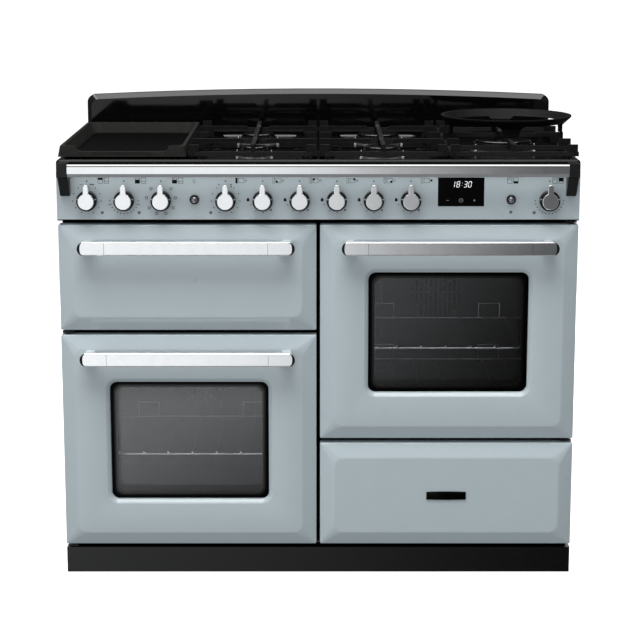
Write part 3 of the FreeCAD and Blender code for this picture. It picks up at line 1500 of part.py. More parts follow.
def save_chassis():
    """Writes the fixed casing, liners and supports."""
    save("plinth", plinth())
    save("levelling_feet", levelling_feet())
    save("side_panels", side_panels())
    save("back_panel", back_panel())
    save("base_pan", base_pan())
    save("front_frame", front_frame())
    save("left_oven_cavity", cavity(-column_x, left_oven_z, cavity_width, cavity_height, cavity_depth, True))
    save("right_oven_cavity", cavity(column_x, right_oven_z, cavity_width, cavity_height, cavity_depth, True))
    save("grill_cavity", cavity(-column_x, grill_mid_z, grill_width, grill_height, grill_depth, False))
    save("oven_door_seals", [door_seal(-column_x, left_oven_z), door_seal(column_x, right_oven_z)])
    save("hinge_brackets", hinge_brackets())
    save("runner_rails", runner_rails())
    save("handrail_bar", handrail_bar())
    save("handrail_brackets", handrail_brackets())


def save_ovens():
    """Writes the fans, elements, shelves and doors."""
    ovens = (("left", -column_x, left_oven_z, fronts_bottom_z), ("right", column_x, right_oven_z, tall_right_z))
    units = []
    elements = [grill_element()]
    for name, x, z, door_z in ovens:
        units += [fan_cover(x, z), fan_motor(x, z)]
        elements.append(ring_element(x, z))
        hinge_x = math.copysign(half_width - hinge_edge, x)
        save(name + "_fan", oven_fan(x, z))
        save(name + "_door_panel", door_panel(x, door_z, z, hinge_x))
        save(name + "_door_glass", door_panes(x, z))
        save(name + "_door_liner", door_liner(x, door_z, z))
        save(name + "_door_handle", bar_handle(x, door_z + tall_front_height))
    save("oven_fan_units", units)
    save("heating_elements", elements)
    save("oven_racking", oven_racking())


def save_drawers():
    """Writes the glide-out grill and the lower drawer."""
    save("grill_front", raised_front(-column_x, low_left_z, fronts_top_z))
    save("grill_handle", bar_handle(-column_x, fronts_top_z))
    save("grill_carriage", grill_carriage())
    save("grill_pan", grill_pan())
    save("drawer_front", raised_front(column_x, fronts_bottom_z, tall_right_z - front_gap))
    save("drawer_box", drawer_box())


def save_hob():
    """Writes the hob, its burners and what stands on it."""
    save("hob_tray", hob_tray())
    save("upstand", upstand())
    save("burner_crowns", burner_crowns())
    save("burner_caps", burner_caps())
    save("griddle_hotplate", griddle_hotplate())
    save("griddle", griddle())
    save("pan_support_left", pan_support(burner_xs[0], burner_ys, finger_tip))
    save("pan_support_centre", pan_support(burner_xs[1], burner_ys, finger_tip))
    save("pan_support_right", pan_support(wok_x, (wok_y,), wok_finger_tip))
    save("wok_ring", wok_ring())


def save_controls():
    """Writes the fascia and everything on it."""
    save("control_panel", control_panel())
    save("clock_display", clock_display())
    save("control_bezels", control_bezels())
    save("gas_rail", gas_rail())
    save("oven_switches", oven_switches())
    for name, x in zip(KNOB_NAMES, knob_xs()):
        save(name, knob(x))
    for name, x in zip(BUTTON_NAMES, button_xs()):
        save(name, push_button(x))


os.makedirs("parts", exist_ok=True)
save_chassis()
save_ovens()
save_drawers()
save_hob()
save_controls()
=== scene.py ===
import json
import math

import bpy
import numpy as np
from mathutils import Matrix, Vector


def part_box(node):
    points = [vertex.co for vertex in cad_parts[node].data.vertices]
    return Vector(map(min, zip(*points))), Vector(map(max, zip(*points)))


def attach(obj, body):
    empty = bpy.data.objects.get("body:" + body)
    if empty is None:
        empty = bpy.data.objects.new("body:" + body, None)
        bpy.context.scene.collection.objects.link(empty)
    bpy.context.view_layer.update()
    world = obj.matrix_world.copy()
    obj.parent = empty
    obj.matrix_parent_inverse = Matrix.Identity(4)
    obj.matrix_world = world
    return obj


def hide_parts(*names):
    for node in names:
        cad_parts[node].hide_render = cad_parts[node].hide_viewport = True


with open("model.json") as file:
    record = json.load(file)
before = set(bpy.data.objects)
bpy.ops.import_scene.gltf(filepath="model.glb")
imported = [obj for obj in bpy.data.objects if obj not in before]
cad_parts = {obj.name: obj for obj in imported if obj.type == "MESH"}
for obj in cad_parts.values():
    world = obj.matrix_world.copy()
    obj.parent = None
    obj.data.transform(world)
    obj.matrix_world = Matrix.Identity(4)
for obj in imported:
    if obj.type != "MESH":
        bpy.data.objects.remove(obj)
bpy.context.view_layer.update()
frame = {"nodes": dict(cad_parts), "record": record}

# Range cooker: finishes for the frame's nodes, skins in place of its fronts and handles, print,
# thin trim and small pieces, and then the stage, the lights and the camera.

scene = bpy.context.scene


def span(node):
    """Lowest and highest corner of a node as arrays, in metres."""
    low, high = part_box(node)
    return np.array(low, float), np.array(high, float)


def middle(node):
    """Centre of a node's box."""
    low, high = span(node)
    return (low + high) / 2


# Directions, and places that several pieces share, in metres: X to the right, Y to the back, Z up

SIDES = (-1, 1)
FORWARDS, BACKWARDS, UP = (0, -1, 0), (0, 1, 0), (0, 0, 1)
FACE_Y = span("drawer_front")[0][1]
PANEL_Y = span("control_panel")[0][1]
HOB_KNOBS = ["hotplate_knob", "burner_knob_1", "burner_knob_2", "burner_knob_3", "burner_knob_4",
             "burner_knob_5"]
KNOBS = ["grill_knob", "left_oven_temperature_knob", "left_oven_function_knob", *HOB_KNOBS,
         "right_oven_knob"]
KNOB_RADIUS = 0.017
KNOB_Z = span("grill_knob")[0][2] + KNOB_RADIUS
KNOB_X = {name: middle(name)[0] for name in KNOBS}
BURNER_STEP = 0.1325
SPIGOT_LENGTH = 0.026
DISH_Z = span("burner_crowns")[0][2] + SPIGOT_LENGTH
PRINT = 0.00015


# Meshes worked out as arrays

def strips(rows, around):
    """Quads between neighbouring rows of a tube: corner i of row r joins i + 1 and row r + 1."""
    r, i = np.meshgrid(np.arange(rows - 1), np.arange(around), indexing="ij")
    j = (i + 1) % around
    near, far = r * around, (r + 1) * around
    return np.stack([near + i, near + j, far + j, far + i], -1).reshape(-1, 4)


def mesh_piece(name, points, faces, look, body, slot, sharp=35, share=None):
    """One mesh object from an array of points and a list of faces, riding on a body.

    Edges that bend more than sharp, in degrees, stay sharp. share is an optional value per point,
    kept as the attribute that a finish can read.
    """
    mesh = bpy.data.meshes.new(name)
    places = np.asarray(points, float).reshape(-1, 3).tolist()
    mesh.from_pydata(places, [], [list(map(int, face)) for face in faces])
    if share is not None:
        values = mesh.attributes.new("share", "FLOAT", "POINT").data
        values.foreach_set("value", np.asarray(share, np.float32))
    mesh.polygons.foreach_set("use_smooth", np.full(len(mesh.polygons), True))
    mesh.set_sharp_from_angle(angle=math.radians(sharp))
    mesh.materials.append(looks[look])
    obj = bpy.data.objects.new(name, mesh)
    scene.collection.objects.link(obj)
    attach(obj, body)
    return obj


def joined(parts):
    """One array of points and one list of faces from several (points, faces) pairs."""
    points = [np.asarray(p, float).reshape(-1, 3) for p, _ in parts]
    starts = np.cumsum([0] + [len(p) for p in points[:-1]])
    faces = [[i + start for i in face]
             for (_, part_faces), start in zip(parts, starts) for face in part_faces]
    return np.concatenate(points), faces


def rounded_loop(half_w, half_h, radius, steps=10):
    """Points of a rounded rectangle: four quarter circles of the radius round the inner corners."""
    turn = np.linspace(0, math.pi / 2, steps)
    quarter = np.arange(4)[:, None] * math.pi / 2 + turn[None, :]
    signs = np.array([[1, 1], [-1, 1], [-1, -1], [1, -1]])
    x = signs[:, :1] * (half_w - radius) + radius * np.cos(quarter)
    z = signs[:, 1:] * (half_h - radius) + radius * np.sin(quarter)
    return np.stack([x, z], -1).reshape(-1, 2)


def upright(outline, y):
    """An outline of (x, z) points stood up at a depth y."""
    return np.column_stack([outline[:, 0], np.full(len(outline), y), outline[:, 1]])


def loop_rows(centre_x, rows):
    """Rows (half width, half height, radius, middle height, y) as upright rounded loops."""
    return np.array([upright(rounded_loop(w, h, r) + [centre_x, mid], y)
                     for w, h, r, mid, y in rows])


def capped_tube(rows):
    """Rows of a closed section as a tube, with a flat cap on each end."""
    count = rows.shape[1]
    last = (len(rows) - 1) * count
    faces = strips(len(rows), count).tolist()
    faces.append(list(range(count - 1, -1, -1)))
    faces.append([last + i for i in range(count)])
    return rows, faces


def ring_tube(rows):
    """Rows of a closed section, carried round until the last row meets the first."""
    count = rows.shape[1]
    total = rows.shape[0] * count
    return rows, (strips(len(rows) + 1, count) % total).tolist()


def plate(outline, front_y, thickness):
    """A flat outline in the XZ plane carried back from front_y by the thickness."""
    return capped_tube(np.stack([upright(outline, y) for y in (front_y + thickness, front_y)]))


def turned_rows(profile, centre, axis, steps=24):
    """Rows of a profile of (radius, distance along the axis), turned once round the axis."""
    r, along = np.asarray(profile, float).T
    turn = np.linspace(0, 2 * math.pi, steps, endpoint=False)
    axis = np.asarray(axis, float)
    u = np.array([1.0, 0, 0]) if abs(axis[0]) < 0.5 else np.array([0, 1.0, 0])
    v = np.cross(axis, u)
    ring = np.cos(turn)[:, None] * u + np.sin(turn)[:, None] * v
    return np.asarray(centre, float) + along[:, None, None] * axis + r[:, None, None] * ring[None]


def turned(profile, centre, axis, steps=24):
    """A turned solid: the profile's rows with a cap on each end."""
    return capped_tube(turned_rows(profile, centre, axis, steps))


def dome_profile(radius, rise, end, steps):
    """A dome to be turned: radius * cos(turn) out from the axis, rise * sin(turn) along it."""
    turn = np.linspace(0, end, steps)
    return np.column_stack([radius * np.cos(turn), rise * np.sin(turn)])


# Nodes of the finishes

def new_finish(name):
    """An empty material, its node tree and its shader."""
    mat = bpy.data.materials.new(name)
    mat.use_nodes = True
    return mat, mat.node_tree, mat.node_tree.nodes["Principled BSDF"]


def put(node, values):
    """Set several sockets of a node."""
    for socket, value in values.items():
        node.inputs[socket].default_value = value


def noise(tree, scale, detail=3.0):
    """Value of a noise over the object's own coordinates."""
    where = tree.nodes.new("ShaderNodeTexCoord")
    grain = tree.nodes.new("ShaderNodeTexNoise")
    put(grain, {"Scale": scale, "Detail": detail})
    tree.links.new(where.outputs["Object"], grain.inputs["Vector"])
    return grain.outputs["Fac"]


def coordinates(tree, kind="Object"):
    """X, Y and Z of a coordinate as three values."""
    where = tree.nodes.new("ShaderNodeTexCoord")
    axes = tree.nodes.new("ShaderNodeSeparateXYZ")
    tree.links.new(where.outputs[kind], axes.inputs["Vector"])
    return axes.outputs["X"], axes.outputs["Y"], axes.outputs["Z"]


def level(tree, source, low, high, at_low, at_high, way="SMOOTHSTEP"):
    """A step of a value between two ends, smooth unless said otherwise."""
    step = tree.nodes.new("ShaderNodeMapRange")
    step.interpolation_type = way
    put(step, {"From Min": low, "From Max": high, "To Min": at_low, "To Max": at_high})
    tree.links.new(source, step.inputs["Value"])
    return step.outputs["Result"]


def combined(tree, operation, first, second):
    """Two values put together by an operation."""
    sums = tree.nodes.new("ShaderNodeMath")
    sums.operation = operation
    tree.links.new(first, sums.inputs[0])
    tree.links.new(second, sums.inputs[1])
    return sums.outputs["Value"]


def blend(tree, source, stops):
    """A colour that runs through stops of (place, colour) as a value grows."""
    ramp = tree.nodes.new("ShaderNodeValToRGB")
    elements = ramp.color_ramp.elements
    while len(elements) < len(stops):
        elements.new(0.5)
    for element, (place, colour) in zip(elements, stops):
        element.position = place
        element.color = (*colour, 1)
    tree.links.new(source, ramp.inputs["Fac"])
    return ramp.outputs["Color"]


def darken(mat, factor):
    """Multiply a finish's colour by a value."""
    tree = mat.node_tree
    base = tree.nodes["Principled BSDF"].inputs["Base Color"]
    shade = tree.nodes.new("ShaderNodeVectorMath")
    shade.operation = "SCALE"
    tree.links.new(base.links[0].from_socket, shade.inputs["Vector"])
    tree.links.new(factor, shade.inputs["Scale"])
    tree.links.new(shade.outputs["Vector"], base)


# Finishes

COLOUR_ENDS = (0.3, 0.7)
SMOOTHEST = 0.01
COAT_ROUGHNESS = 0.06
BUMP_DETAIL, BUMP_HEIGHT = 2.0, 0.0004


def finish(name, low, high, roughness, metallic=0.0, scale=60.0, rough_spread=0.06, bump=0.0,
           bump_scale=600.0, coat=0.0, specular=0.5):
    """Colour and roughness that wander between two values with a noise, and a fine bump."""
    mat, tree, shader = new_finish(name)
    grain = noise(tree, scale)
    colour = blend(tree, grain, list(zip(COLOUR_ENDS, (low, high))))
    tree.links.new(colour, shader.inputs["Base Color"])
    smooth = max(roughness - rough_spread, SMOOTHEST)
    wander = level(tree, grain, 0, 1, smooth, roughness + rough_spread, "LINEAR")
    tree.links.new(wander, shader.inputs["Roughness"])
    put(shader, {"Metallic": metallic, "Specular IOR Level": specular, "Coat Weight": coat,
                 "Coat Roughness": COAT_ROUGHNESS})
    if bump:
        lift = tree.nodes.new("ShaderNodeBump")
        put(lift, {"Strength": bump, "Distance": BUMP_HEIGHT})
        tree.links.new(noise(tree, bump_scale, BUMP_DETAIL), lift.inputs["Height"])
        tree.links.new(lift.outputs["Normal"], shader.inputs["Normal"])
    return mat


def tinted_glass(name, tint, smear=0.03, ior=1.45):
    """Clear tinted pane with a faint smear in its roughness."""
    mat, tree, shader = new_finish(name)
    wander = level(tree, noise(tree, scale=9.0), 0, 1, 0.0, smear, "LINEAR")
    tree.links.new(wander, shader.inputs["Roughness"])
    put(shader, {"Base Color": (*tint, 1), "Transmission Weight": 1.0, "IOR": ior})
    return mat


def fading_ink(name, low, high, least_gloss=0.02, most_gloss=0.8, roughness=0.04):
    """Black ink round a pane. Its gloss grows with a share, so that it melts into the glass."""
    mat, tree, shader = new_finish(name)
    colour = blend(tree, noise(tree, scale=500.0), [(0.0, low), (1.0, high)])
    tree.links.new(colour, shader.inputs["Base Color"])
    share = tree.nodes.new("ShaderNodeAttribute")
    share.attribute_name = "share"
    gloss = level(tree, share.outputs["Fac"], 0, 1, least_gloss, most_gloss, "LINEAR")
    tree.links.new(gloss, shader.inputs["Specular IOR Level"])
    put(shader, {"Roughness": roughness})
    return mat


def glowing(name, colour, strength, dimmest=0.9):
    """A lit mark of a display, with a slight unevenness."""
    mat, tree, shader = new_finish(name)
    dim = [part * dimmest for part in colour]
    glow = blend(tree, noise(tree, scale=300.0), [(0.0, dim), (1.0, colour)])
    tree.links.new(glow, shader.inputs["Base Color"])
    tree.links.new(glow, shader.inputs["Emission Color"])
    put(shader, {"Emission Strength": strength})
    return mat


CAST = dict(scale=140, rough_spread=0.08, bump=0.25, bump_scale=900)
CHROME = ((0.76, 0.77, 0.78), (0.8, 0.81, 0.82), 0.09,
          dict(metallic=1.0, scale=40, rough_spread=0.02))

# Each row: the colours at both ends of the noise, the roughness, and what else finish is told
LOOKS = {
    "pale_enamel": ((0.49, 0.567, 0.598), (0.5, 0.578, 0.61), 0.3,
                    dict(scale=25, bump=0.02, bump_scale=900, coat=0.2)),
    "black_enamel": ((0.002, 0.002, 0.0022), (0.004, 0.004, 0.0045), 0.12,
                     dict(scale=90, rough_spread=0.03)),
    "hob_enamel": ((0.002, 0.002, 0.0022), (0.004, 0.004, 0.0045), 0.2,
                   dict(scale=90, rough_spread=0.04, specular=0.1)),
    "upstand_enamel": ((0.0015, 0.0015, 0.0016), (0.003, 0.003, 0.0033), 0.05,
                       dict(scale=90, rough_spread=0.02, specular=0.3)),
    "oven_enamel": ((0.008, 0.008, 0.009), (0.014, 0.014, 0.015), 0.4,
                    dict(scale=700, bump=0.05, specular=0.2)),
    "satin_black": ((0.004, 0.004, 0.0045), (0.007, 0.007, 0.0075), 0.35,
                    dict(scale=120, bump=0.03, specular=0.3)),
    "plinth_black": ((0.0012, 0.0012, 0.0013), (0.0024, 0.0024, 0.0025), 0.18,
                     dict(scale=150, bump=0.03, specular=0.42)),
    # Black of the front frame, also used for the painted shade strip under the fascia
    "frame_black": ((0.0006, 0.0006, 0.0006), (0.0012, 0.0012, 0.0012), 0.7,
                    dict(scale=150, specular=0.05)),
    "charcoal_side": ((0.022, 0.022, 0.023), (0.03, 0.03, 0.031), 0.45,
                      dict(scale=120, bump=0.04, specular=0.35)),
    "polished_chrome": CHROME,
    # The handrail's chrome, which carries a painted reflection line and painted shade on its top
    "chrome_painted_reflection": CHROME,
    "button_chrome": ((0.24, 0.24, 0.25), (0.28, 0.28, 0.29), 0.12, dict(metallic=1.0)),
    # Dark seams of the handles' end caps, and painted shade on the handles' rounded ends
    "smoked_chrome": ((0.006, 0.006, 0.007), (0.012, 0.012, 0.013), 0.3, dict(specular=0.1)),
    "galvanised_steel": ((0.4, 0.41, 0.42), (0.55, 0.56, 0.57), 0.42,
                         dict(metallic=1.0, scale=35, bump=0.05)),
    "casting": ((0.006, 0.006, 0.0062), (0.010, 0.010, 0.0102), 0.55, dict(CAST, specular=0.1)),
    # Painted shade: a darker copy of the casting for the wok cradle
    "shaded_cradle_casting": ((0.003, 0.003, 0.0031), (0.006, 0.006, 0.0061), 0.55,
                       dict(CAST, specular=0.06)),
    "griddle_casting": ((0.020, 0.020, 0.0188), (0.027, 0.027, 0.0255), 0.5,
                        dict(CAST, specular=0.015)),
    "burner_alloy": ((0.09, 0.09, 0.09), (0.14, 0.14, 0.137), 0.35,
                     dict(metallic=1.0, scale=120, bump=0.1)),
    "brass_metal": ((0.55, 0.4, 0.17), (0.7, 0.52, 0.25), 0.35,
                    dict(metallic=1.0, scale=80, bump=0.05)),
    "ceramic_black": ((0.004, 0.004, 0.004), (0.01, 0.01, 0.01), 0.08, dict(scale=900, coat=0.3)),
    "display_black": ((0.0008, 0.0008, 0.001), (0.0014, 0.0014, 0.0016), 0.15,
                      dict(rough_spread=0.03, specular=0.06)),
    "moulded_switch": ((0.5, 0.49, 0.45), (0.6, 0.59, 0.55), 0.5, dict(scale=100, bump=0.04)),
    "seal_rubber": ((0.012, 0.012, 0.012), (0.02, 0.02, 0.02), 0.7, dict(scale=200, bump=0.2)),
    "bright_wire": ((0.8, 0.8, 0.8), (0.9, 0.9, 0.9), 0.22, dict(metallic=1.0, scale=70)),
    # Pale white that stands for highlights: on the shelf bars' ends and on the knob collars
    "pale_tip": ((0.8, 0.8, 0.8), (0.9, 0.9, 0.9), 0.4, dict(scale=300)),
    "fan_steel": ((0.0006, 0.0006, 0.0006), (0.0012, 0.0012, 0.0012), 0.8,
                  dict(scale=120, specular=0.02)),
    "fan_cover": ((0.016, 0.016, 0.017), (0.024, 0.024, 0.025), 0.5,
                  dict(scale=700, bump=0.05, specular=0.1)),
    "dark_element": ((0.05, 0.045, 0.045), (0.09, 0.085, 0.08), 0.5,
                     dict(metallic=0.6, scale=90, bump=0.1)),
    "printed_black": ((0.004, 0.004, 0.005), (0.007, 0.007, 0.008), 0.5,
                      dict(scale=400, specular=0.1)),
    "printed_grey": ((0.06, 0.065, 0.075), (0.08, 0.085, 0.095), 0.5, dict(scale=400)),
    "lamp_lens": ((0.12, 0.13, 0.14), (0.15, 0.16, 0.17), 0.25, dict(scale=200)),
    "electrode_ceramic": ((0.4, 0.39, 0.37), (0.5, 0.49, 0.47), 0.35, dict(scale=300, bump=0.05)),
}
looks = {name: finish(name, low, high, roughness, **rest)
         for name, (low, high, roughness, rest) in LOOKS.items()}
looks["window_glass"] = tinted_glass("window_glass", (0.8, 0.81, 0.82))
looks["window_ink"] = fading_ink("window_ink", (0.0004, 0.0004, 0.0004), (0.0012, 0.0012, 0.0012))
looks["lit_digit"] = glowing("lit_digit", (0.95, 0.97, 1.0), 1.0)
looks["dim_mark"] = glowing("dim_mark", (0.2, 0.21, 0.22), 0.3)

# Painted shade on the griddle's floor: its height above the griddle's bottom, the width of its soft
# edge, and how dark it is
GRIDDLE_FLOOR, FLOOR_EDGE, FLOOR_SHADE = 0.005, 0.004, 0.08
RAIL_TOP_RISE = 0.003
# Painted reflection on the handrail: width of the dark line, its soft edge, its rise above the top
# bevel's foot, and how dark it is
LINE_WIDTH, LINE_EDGE, LINE_RISE, LINE_SHADE = 0.0022, 0.0002, 0.0012, 0.06
# Painted shade on the handrail's top: the share of its colour that is left
TOP_SHINE = 0.4


def shade_griddle_floor(mat, floor_z):
    """Painted shade: make the floor of a griddle darker than its walls and its rim."""
    tree = mat.node_tree
    z = coordinates(tree)[2]
    darken(mat, level(tree, z, floor_z, floor_z + FLOOR_EDGE, FLOOR_SHADE, 1.0))


def paint_rail_reflection(mat, line_z):
    """Painted reflection: a fine dark line where a bar's top bevel meets its face; painted shade
    dims the top.
    """
    tree = mat.node_tree
    z = coordinates(tree)[2]
    foot_z = line_z - LINE_WIDTH
    above = level(tree, z, line_z, line_z + LINE_EDGE, 0, TOP_SHINE)
    below = level(tree, z, foot_z - LINE_EDGE, foot_z, 1, 0)
    darken(mat, level(tree, combined(tree, "MAXIMUM", above, below), 0, 1, LINE_SHADE, 1.0))


# Painted shade: the griddle's recessed floor is darker than its walls and rim
shade_griddle_floor(looks["griddle_casting"], span("griddle")[0][2] + GRIDDLE_FLOOR)
# Painted reflection line and painted shade on the handrail's top
paint_rail_reflection(looks["chrome_painted_reflection"], span("handrail_bar")[1][2] - RAIL_TOP_RISE + LINE_RISE)

LOOK_OF_SLOT = {
    "enamel": "pale_enamel", "black_enamel": "black_enamel", "oven_enamel": "oven_enamel",
    "black_trim": "satin_black", "galvanised": "galvanised_steel", "chrome": "polished_chrome",
    "cast_iron": "casting", "burner_alloy": "burner_alloy", "brass": "brass_metal",
    "glass": "window_glass", "ceramic_glass": "ceramic_black", "display": "display_black",
    "switch_plastic": "moulded_switch", "seal": "seal_rubber", "wire": "bright_wire",
    "element": "dark_element",
}
LOOK_OF_NODE = {
    "plinth": "plinth_black", "front_frame": "frame_black", "side_panels": "charcoal_side",
    "hob_tray": "hob_enamel", "upstand": "upstand_enamel", "griddle": "griddle_casting",
    "wok_ring": "shaded_cradle_casting", "handrail_bar": "chrome_painted_reflection", "left_fan": "fan_steel",
    "right_fan": "fan_steel", "oven_fan_units": "fan_cover",
}
slot_of = {s["node"]: s["material_slot"] for s in frame["record"]["subparts"]}
for name, node in frame["nodes"].items():
    node.data.materials.clear()
    node.data.materials.append(looks[LOOK_OF_NODE.get(name, LOOK_OF_SLOT[slot_of[name]])])


# Pressed fronts

BEVEL_RISE = 0.014
TOP_TRIM, FOOT_TRIM, SIDE_TRIM = 0.0008, 0.0014, 0.0003
PANE_OVERLAP = 0.0087
WINDOW_DROP = 0.0035
SOFT_ANGLE = 50
BORDER_ROUND = 0.017
INK_FRONT, INK_BACK = -0.0004, 0.0002

# Each step: growth of the outline, radius of its corners, and depth behind the front's edge.
# From the folded back edge, round the front edge, up the bevel and over its soft shoulder:
FRONT_STEPS = [
    (-0.024, 0.020, 0.0240), (-0.024, 0.020, 0.0260), (0.0, 0.003, 0.0260), (0.0, 0.003, 0.0016),
    (-0.0004, 0.003, 0.0006), (-0.0014, 0.0034, -0.0002), (-0.0030, 0.0046, -0.0011),
    (-0.0270, 0.0185, -0.0127), (-0.0285, 0.0195, -0.0134), (-0.0300, 0.0204, -0.0138),
    (-0.0315, 0.0212, -0.0140),
]
# Over the window's edge, down its chamfer and straight back to the glass:
WINDOW_STEPS = [
    (0.0095, 0.0255, -0.0140), (0.0084, 0.0244, -0.0138), (0.0070, 0.0230, -0.0131),
    (0.0015, 0.0175, -0.0080), (0.0005, 0.0165, -0.0070), (0.0, 0.016, -0.0058),
    (0.0, 0.016, 0.0018),
]
# Growth of the window's outline, depth behind the glass, and share of the glass's gloss
BORDER_STEPS = [
    (0.001, INK_BACK, 0), (0.001, INK_FRONT, 0), (-0.005, INK_FRONT, 0), (-0.0075, INK_FRONT, 0.12),
    (-0.010, INK_FRONT, 0.4), (-0.0125, INK_FRONT, 0.75), (-0.014, INK_FRONT, 1),
    (-0.014, INK_BACK, 1),
]


def profile_rows(low, high, edge_y, steps):
    """Rounded loops about a box: its outline grown by each step, at that step's depth."""
    half, centre = (high - low) / 2, (high + low) / 2
    return loop_rows(centre[0], [(half[0] + grow, half[2] + grow, radius, centre[2], edge_y + y)
                                 for grow, radius, y in steps])


def window_span(glass):
    """Corners of the opening in front of a pane, which reaches lower than the pane's own seat."""
    low, high = span(glass)
    overlap = np.array([PANE_OVERLAP, 0, PANE_OVERLAP])
    return low + overlap - [0, 0, WINDOW_DROP], high - overlap


def pressed_front(node, body, glass=None):
    """A front as one skin: loops along a profile, closed by a flat field or ended at the glass."""
    low, high = span(node)
    low, high = low + [SIDE_TRIM, 0, FOOT_TRIM], high - [SIDE_TRIM, 0, TOP_TRIM]
    edge_y = low[1] + BEVEL_RISE
    points = profile_rows(low, high, edge_y, FRONT_STEPS)
    if glass:
        points = np.concatenate([points, profile_rows(*window_span(glass), edge_y, WINDOW_STEPS)])
    count = points.shape[1]
    faces = strips(len(points), count)[:, ::-1].tolist()
    if not glass:
        last = (len(points) - 1) * count
        faces.append([last + i for i in range(count)])
    skin = mesh_piece(node + "_skin", points, faces, "pale_enamel", body, "enamel",
                      sharp=SOFT_ANGLE)
    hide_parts(node)


def glass_border(glass, body):
    """Black border on a pane: loops from the window's edge inwards, with a growing gloss."""
    low, high = window_span(glass)
    steps = [(grow, BORDER_ROUND, y) for grow, y, _ in BORDER_STEPS]
    points, faces = ring_tube(profile_rows(low, high, low[1], steps))
    share = np.repeat([gloss for _, _, gloss in BORDER_STEPS], points.shape[1])
    mesh_piece(glass + "_border", points, [face[::-1] for face in faces], "window_ink", body,
               "black_trim", share=share)


pressed_front("grill_front", "grill_drawer")
pressed_front("drawer_front", "lower_drawer")
pressed_front("left_door_panel", "left_oven_door", "left_door_glass")
pressed_front("right_door_panel", "right_oven_door", "right_door_glass")
glass_border("left_door_glass", "left_oven_door")
glass_border("right_door_glass", "right_oven_door")


# Badge plate on the drawer

BADGE_HALF_W, BADGE_HALF_H, BADGE_BOW = 0.0425, 0.0082, 0.0010
# Distance in from the outline, and depth behind the drawer's face
BADGE_STEPS = [(0.0, 0.0003), (0.0, -0.0022), (0.0003, -0.0026), (0.0012, -0.0028)]


def badge_loop(half_w, half_h, bow, steps=24):
    """A rectangle whose long sides bow out: height = half_h + bow * (1 - (x / half_w) squared)."""
    x = np.linspace(half_w, -half_w, steps)
    lift = half_h + bow * (1 - (x / half_w) ** 2)
    return np.concatenate([np.column_stack([x, lift]), np.column_stack([x[::-1], -lift])])


def badge():
    """The bare badge: a gently domed black plate on the middle of the drawer's front."""
    x, _, z = middle("drawer_front")
    rows = []
    for inset, y in BADGE_STEPS:
        loop = badge_loop(BADGE_HALF_W - inset, BADGE_HALF_H - inset, BADGE_BOW)
        rows.append(upright(loop + [x, z], FACE_Y + y))
    dome = capped_tube(np.stack(rows))
    mesh_piece("badge_plate", *dome, "display_black", "lower_drawer", "display")


badge()


# Flat marks

def dot(x, z, radius, steps=16):
    """A round dot."""
    turn = np.linspace(0, 2 * math.pi, steps, endpoint=False)
    return np.column_stack([x + radius * np.cos(turn), z + radius * np.sin(turn)])


def bar(x, z, width, height, lean=0.0):
    """A flat bar about a centre, leaning to the right by lean times its height above z."""
    corners = np.array([[-1, -1], [1, -1], [1, 1], [-1, 1]]) * [width / 2, height / 2]
    corners[:, 0] += corners[:, 1] * lean
    return corners + [x, z]


def hollow_box(x, z, width, height, line):
    """Four thin bars round a rectangle."""
    across = [bar(x, z + side * (height - line) / 2, width, line) for side in SIDES]
    posts = [bar(x + side * (width - line) / 2, z, line, height - 2 * line) for side in SIDES]
    return across + posts


def flame(x, z, height, steps=20):
    """A flame: half width = 0.5 * height * sin(turn) * sin(turn / 2), rising along cos(turn)."""
    turn = np.linspace(0, 2 * math.pi, steps, endpoint=False)
    half = 0.5 * height * np.sin(turn) * np.sin(turn / 2)
    return np.column_stack([x + half, z + height / 2 * np.cos(turn)])[::-1]


def print_on(name, outlines, look, front_y, slot, body="cooker_body"):
    """Flat marks as thin plates on a surface."""
    plates = [plate(outline, front_y - PRINT, PRINT * 2) for outline in outlines]
    mesh_piece(name, *joined(plates), look, body, slot)


def thin_ring(name, x, z, inner, outer, front_y, look, slot):
    """A printed ring: a flat closed section turned once."""
    section = [(inner, 0.0), (outer, 0.0), (outer, PRINT), (inner, PRINT)]
    ring = ring_tube(turned_rows(section, (x, front_y, z), FORWARDS))
    mesh_piece(name, *ring, look, "cooker_body", slot)


# Print on the control panel

DIAL_RISE = 0.0020
DIAL_Z = KNOB_Z + DIAL_RISE
DIAL_RADIUS, DIAL_DOT = 0.0300, 0.0012
TOP_RISE, TOP_DOT = 0.0405, 0.0017
BOX_RADIUS, BOX_SIDE, BOX_LINE = 0.0305, 0.0058, 0.0012
BURNER_RADIUS, BURNER_DOT, LOW_DOT = 0.0280, 0.0011, 0.0018
FLAME_X, FLAME_HEIGHT = -0.0305, 0.0082
# Angles from the top, in degrees
EVEN_DIAL = [side * angle for side in SIDES for angle in (36, 66, 96, 125, 155)]
HEAT_DIAL = np.linspace(95, 265, 13)
BOX_DIAL = [side * angle for side in SIDES for angle in (43, 83, 125, 162)]
BURNER_DIAL, LOW_DIAL = [-113, -149, 178], [142]
DIAL_OF = {"grill_knob": EVEN_DIAL, "hotplate_knob": EVEN_DIAL,
           "left_oven_temperature_knob": HEAT_DIAL, "right_oven_knob": HEAT_DIAL}
# Knob, place from its axis, width and height
SPARE_BARS = [("grill_knob", -0.0117, 0.0335, 0.0080, 0.0009),
              ("grill_knob", 0.0110, 0.0335, 0.0095, 0.0020),
              ("left_oven_temperature_knob", -0.0310, -0.0090, 0.0060, 0.0009),
              ("left_oven_temperature_knob", 0.0310, -0.0090, 0.0060, 0.0009)]
SPARE_DOT = 0.0014
HOTPLATE_DOTS = [(-0.0135, 0.0335), (0.0117, 0.0335), (0.0117, 0.0290)]

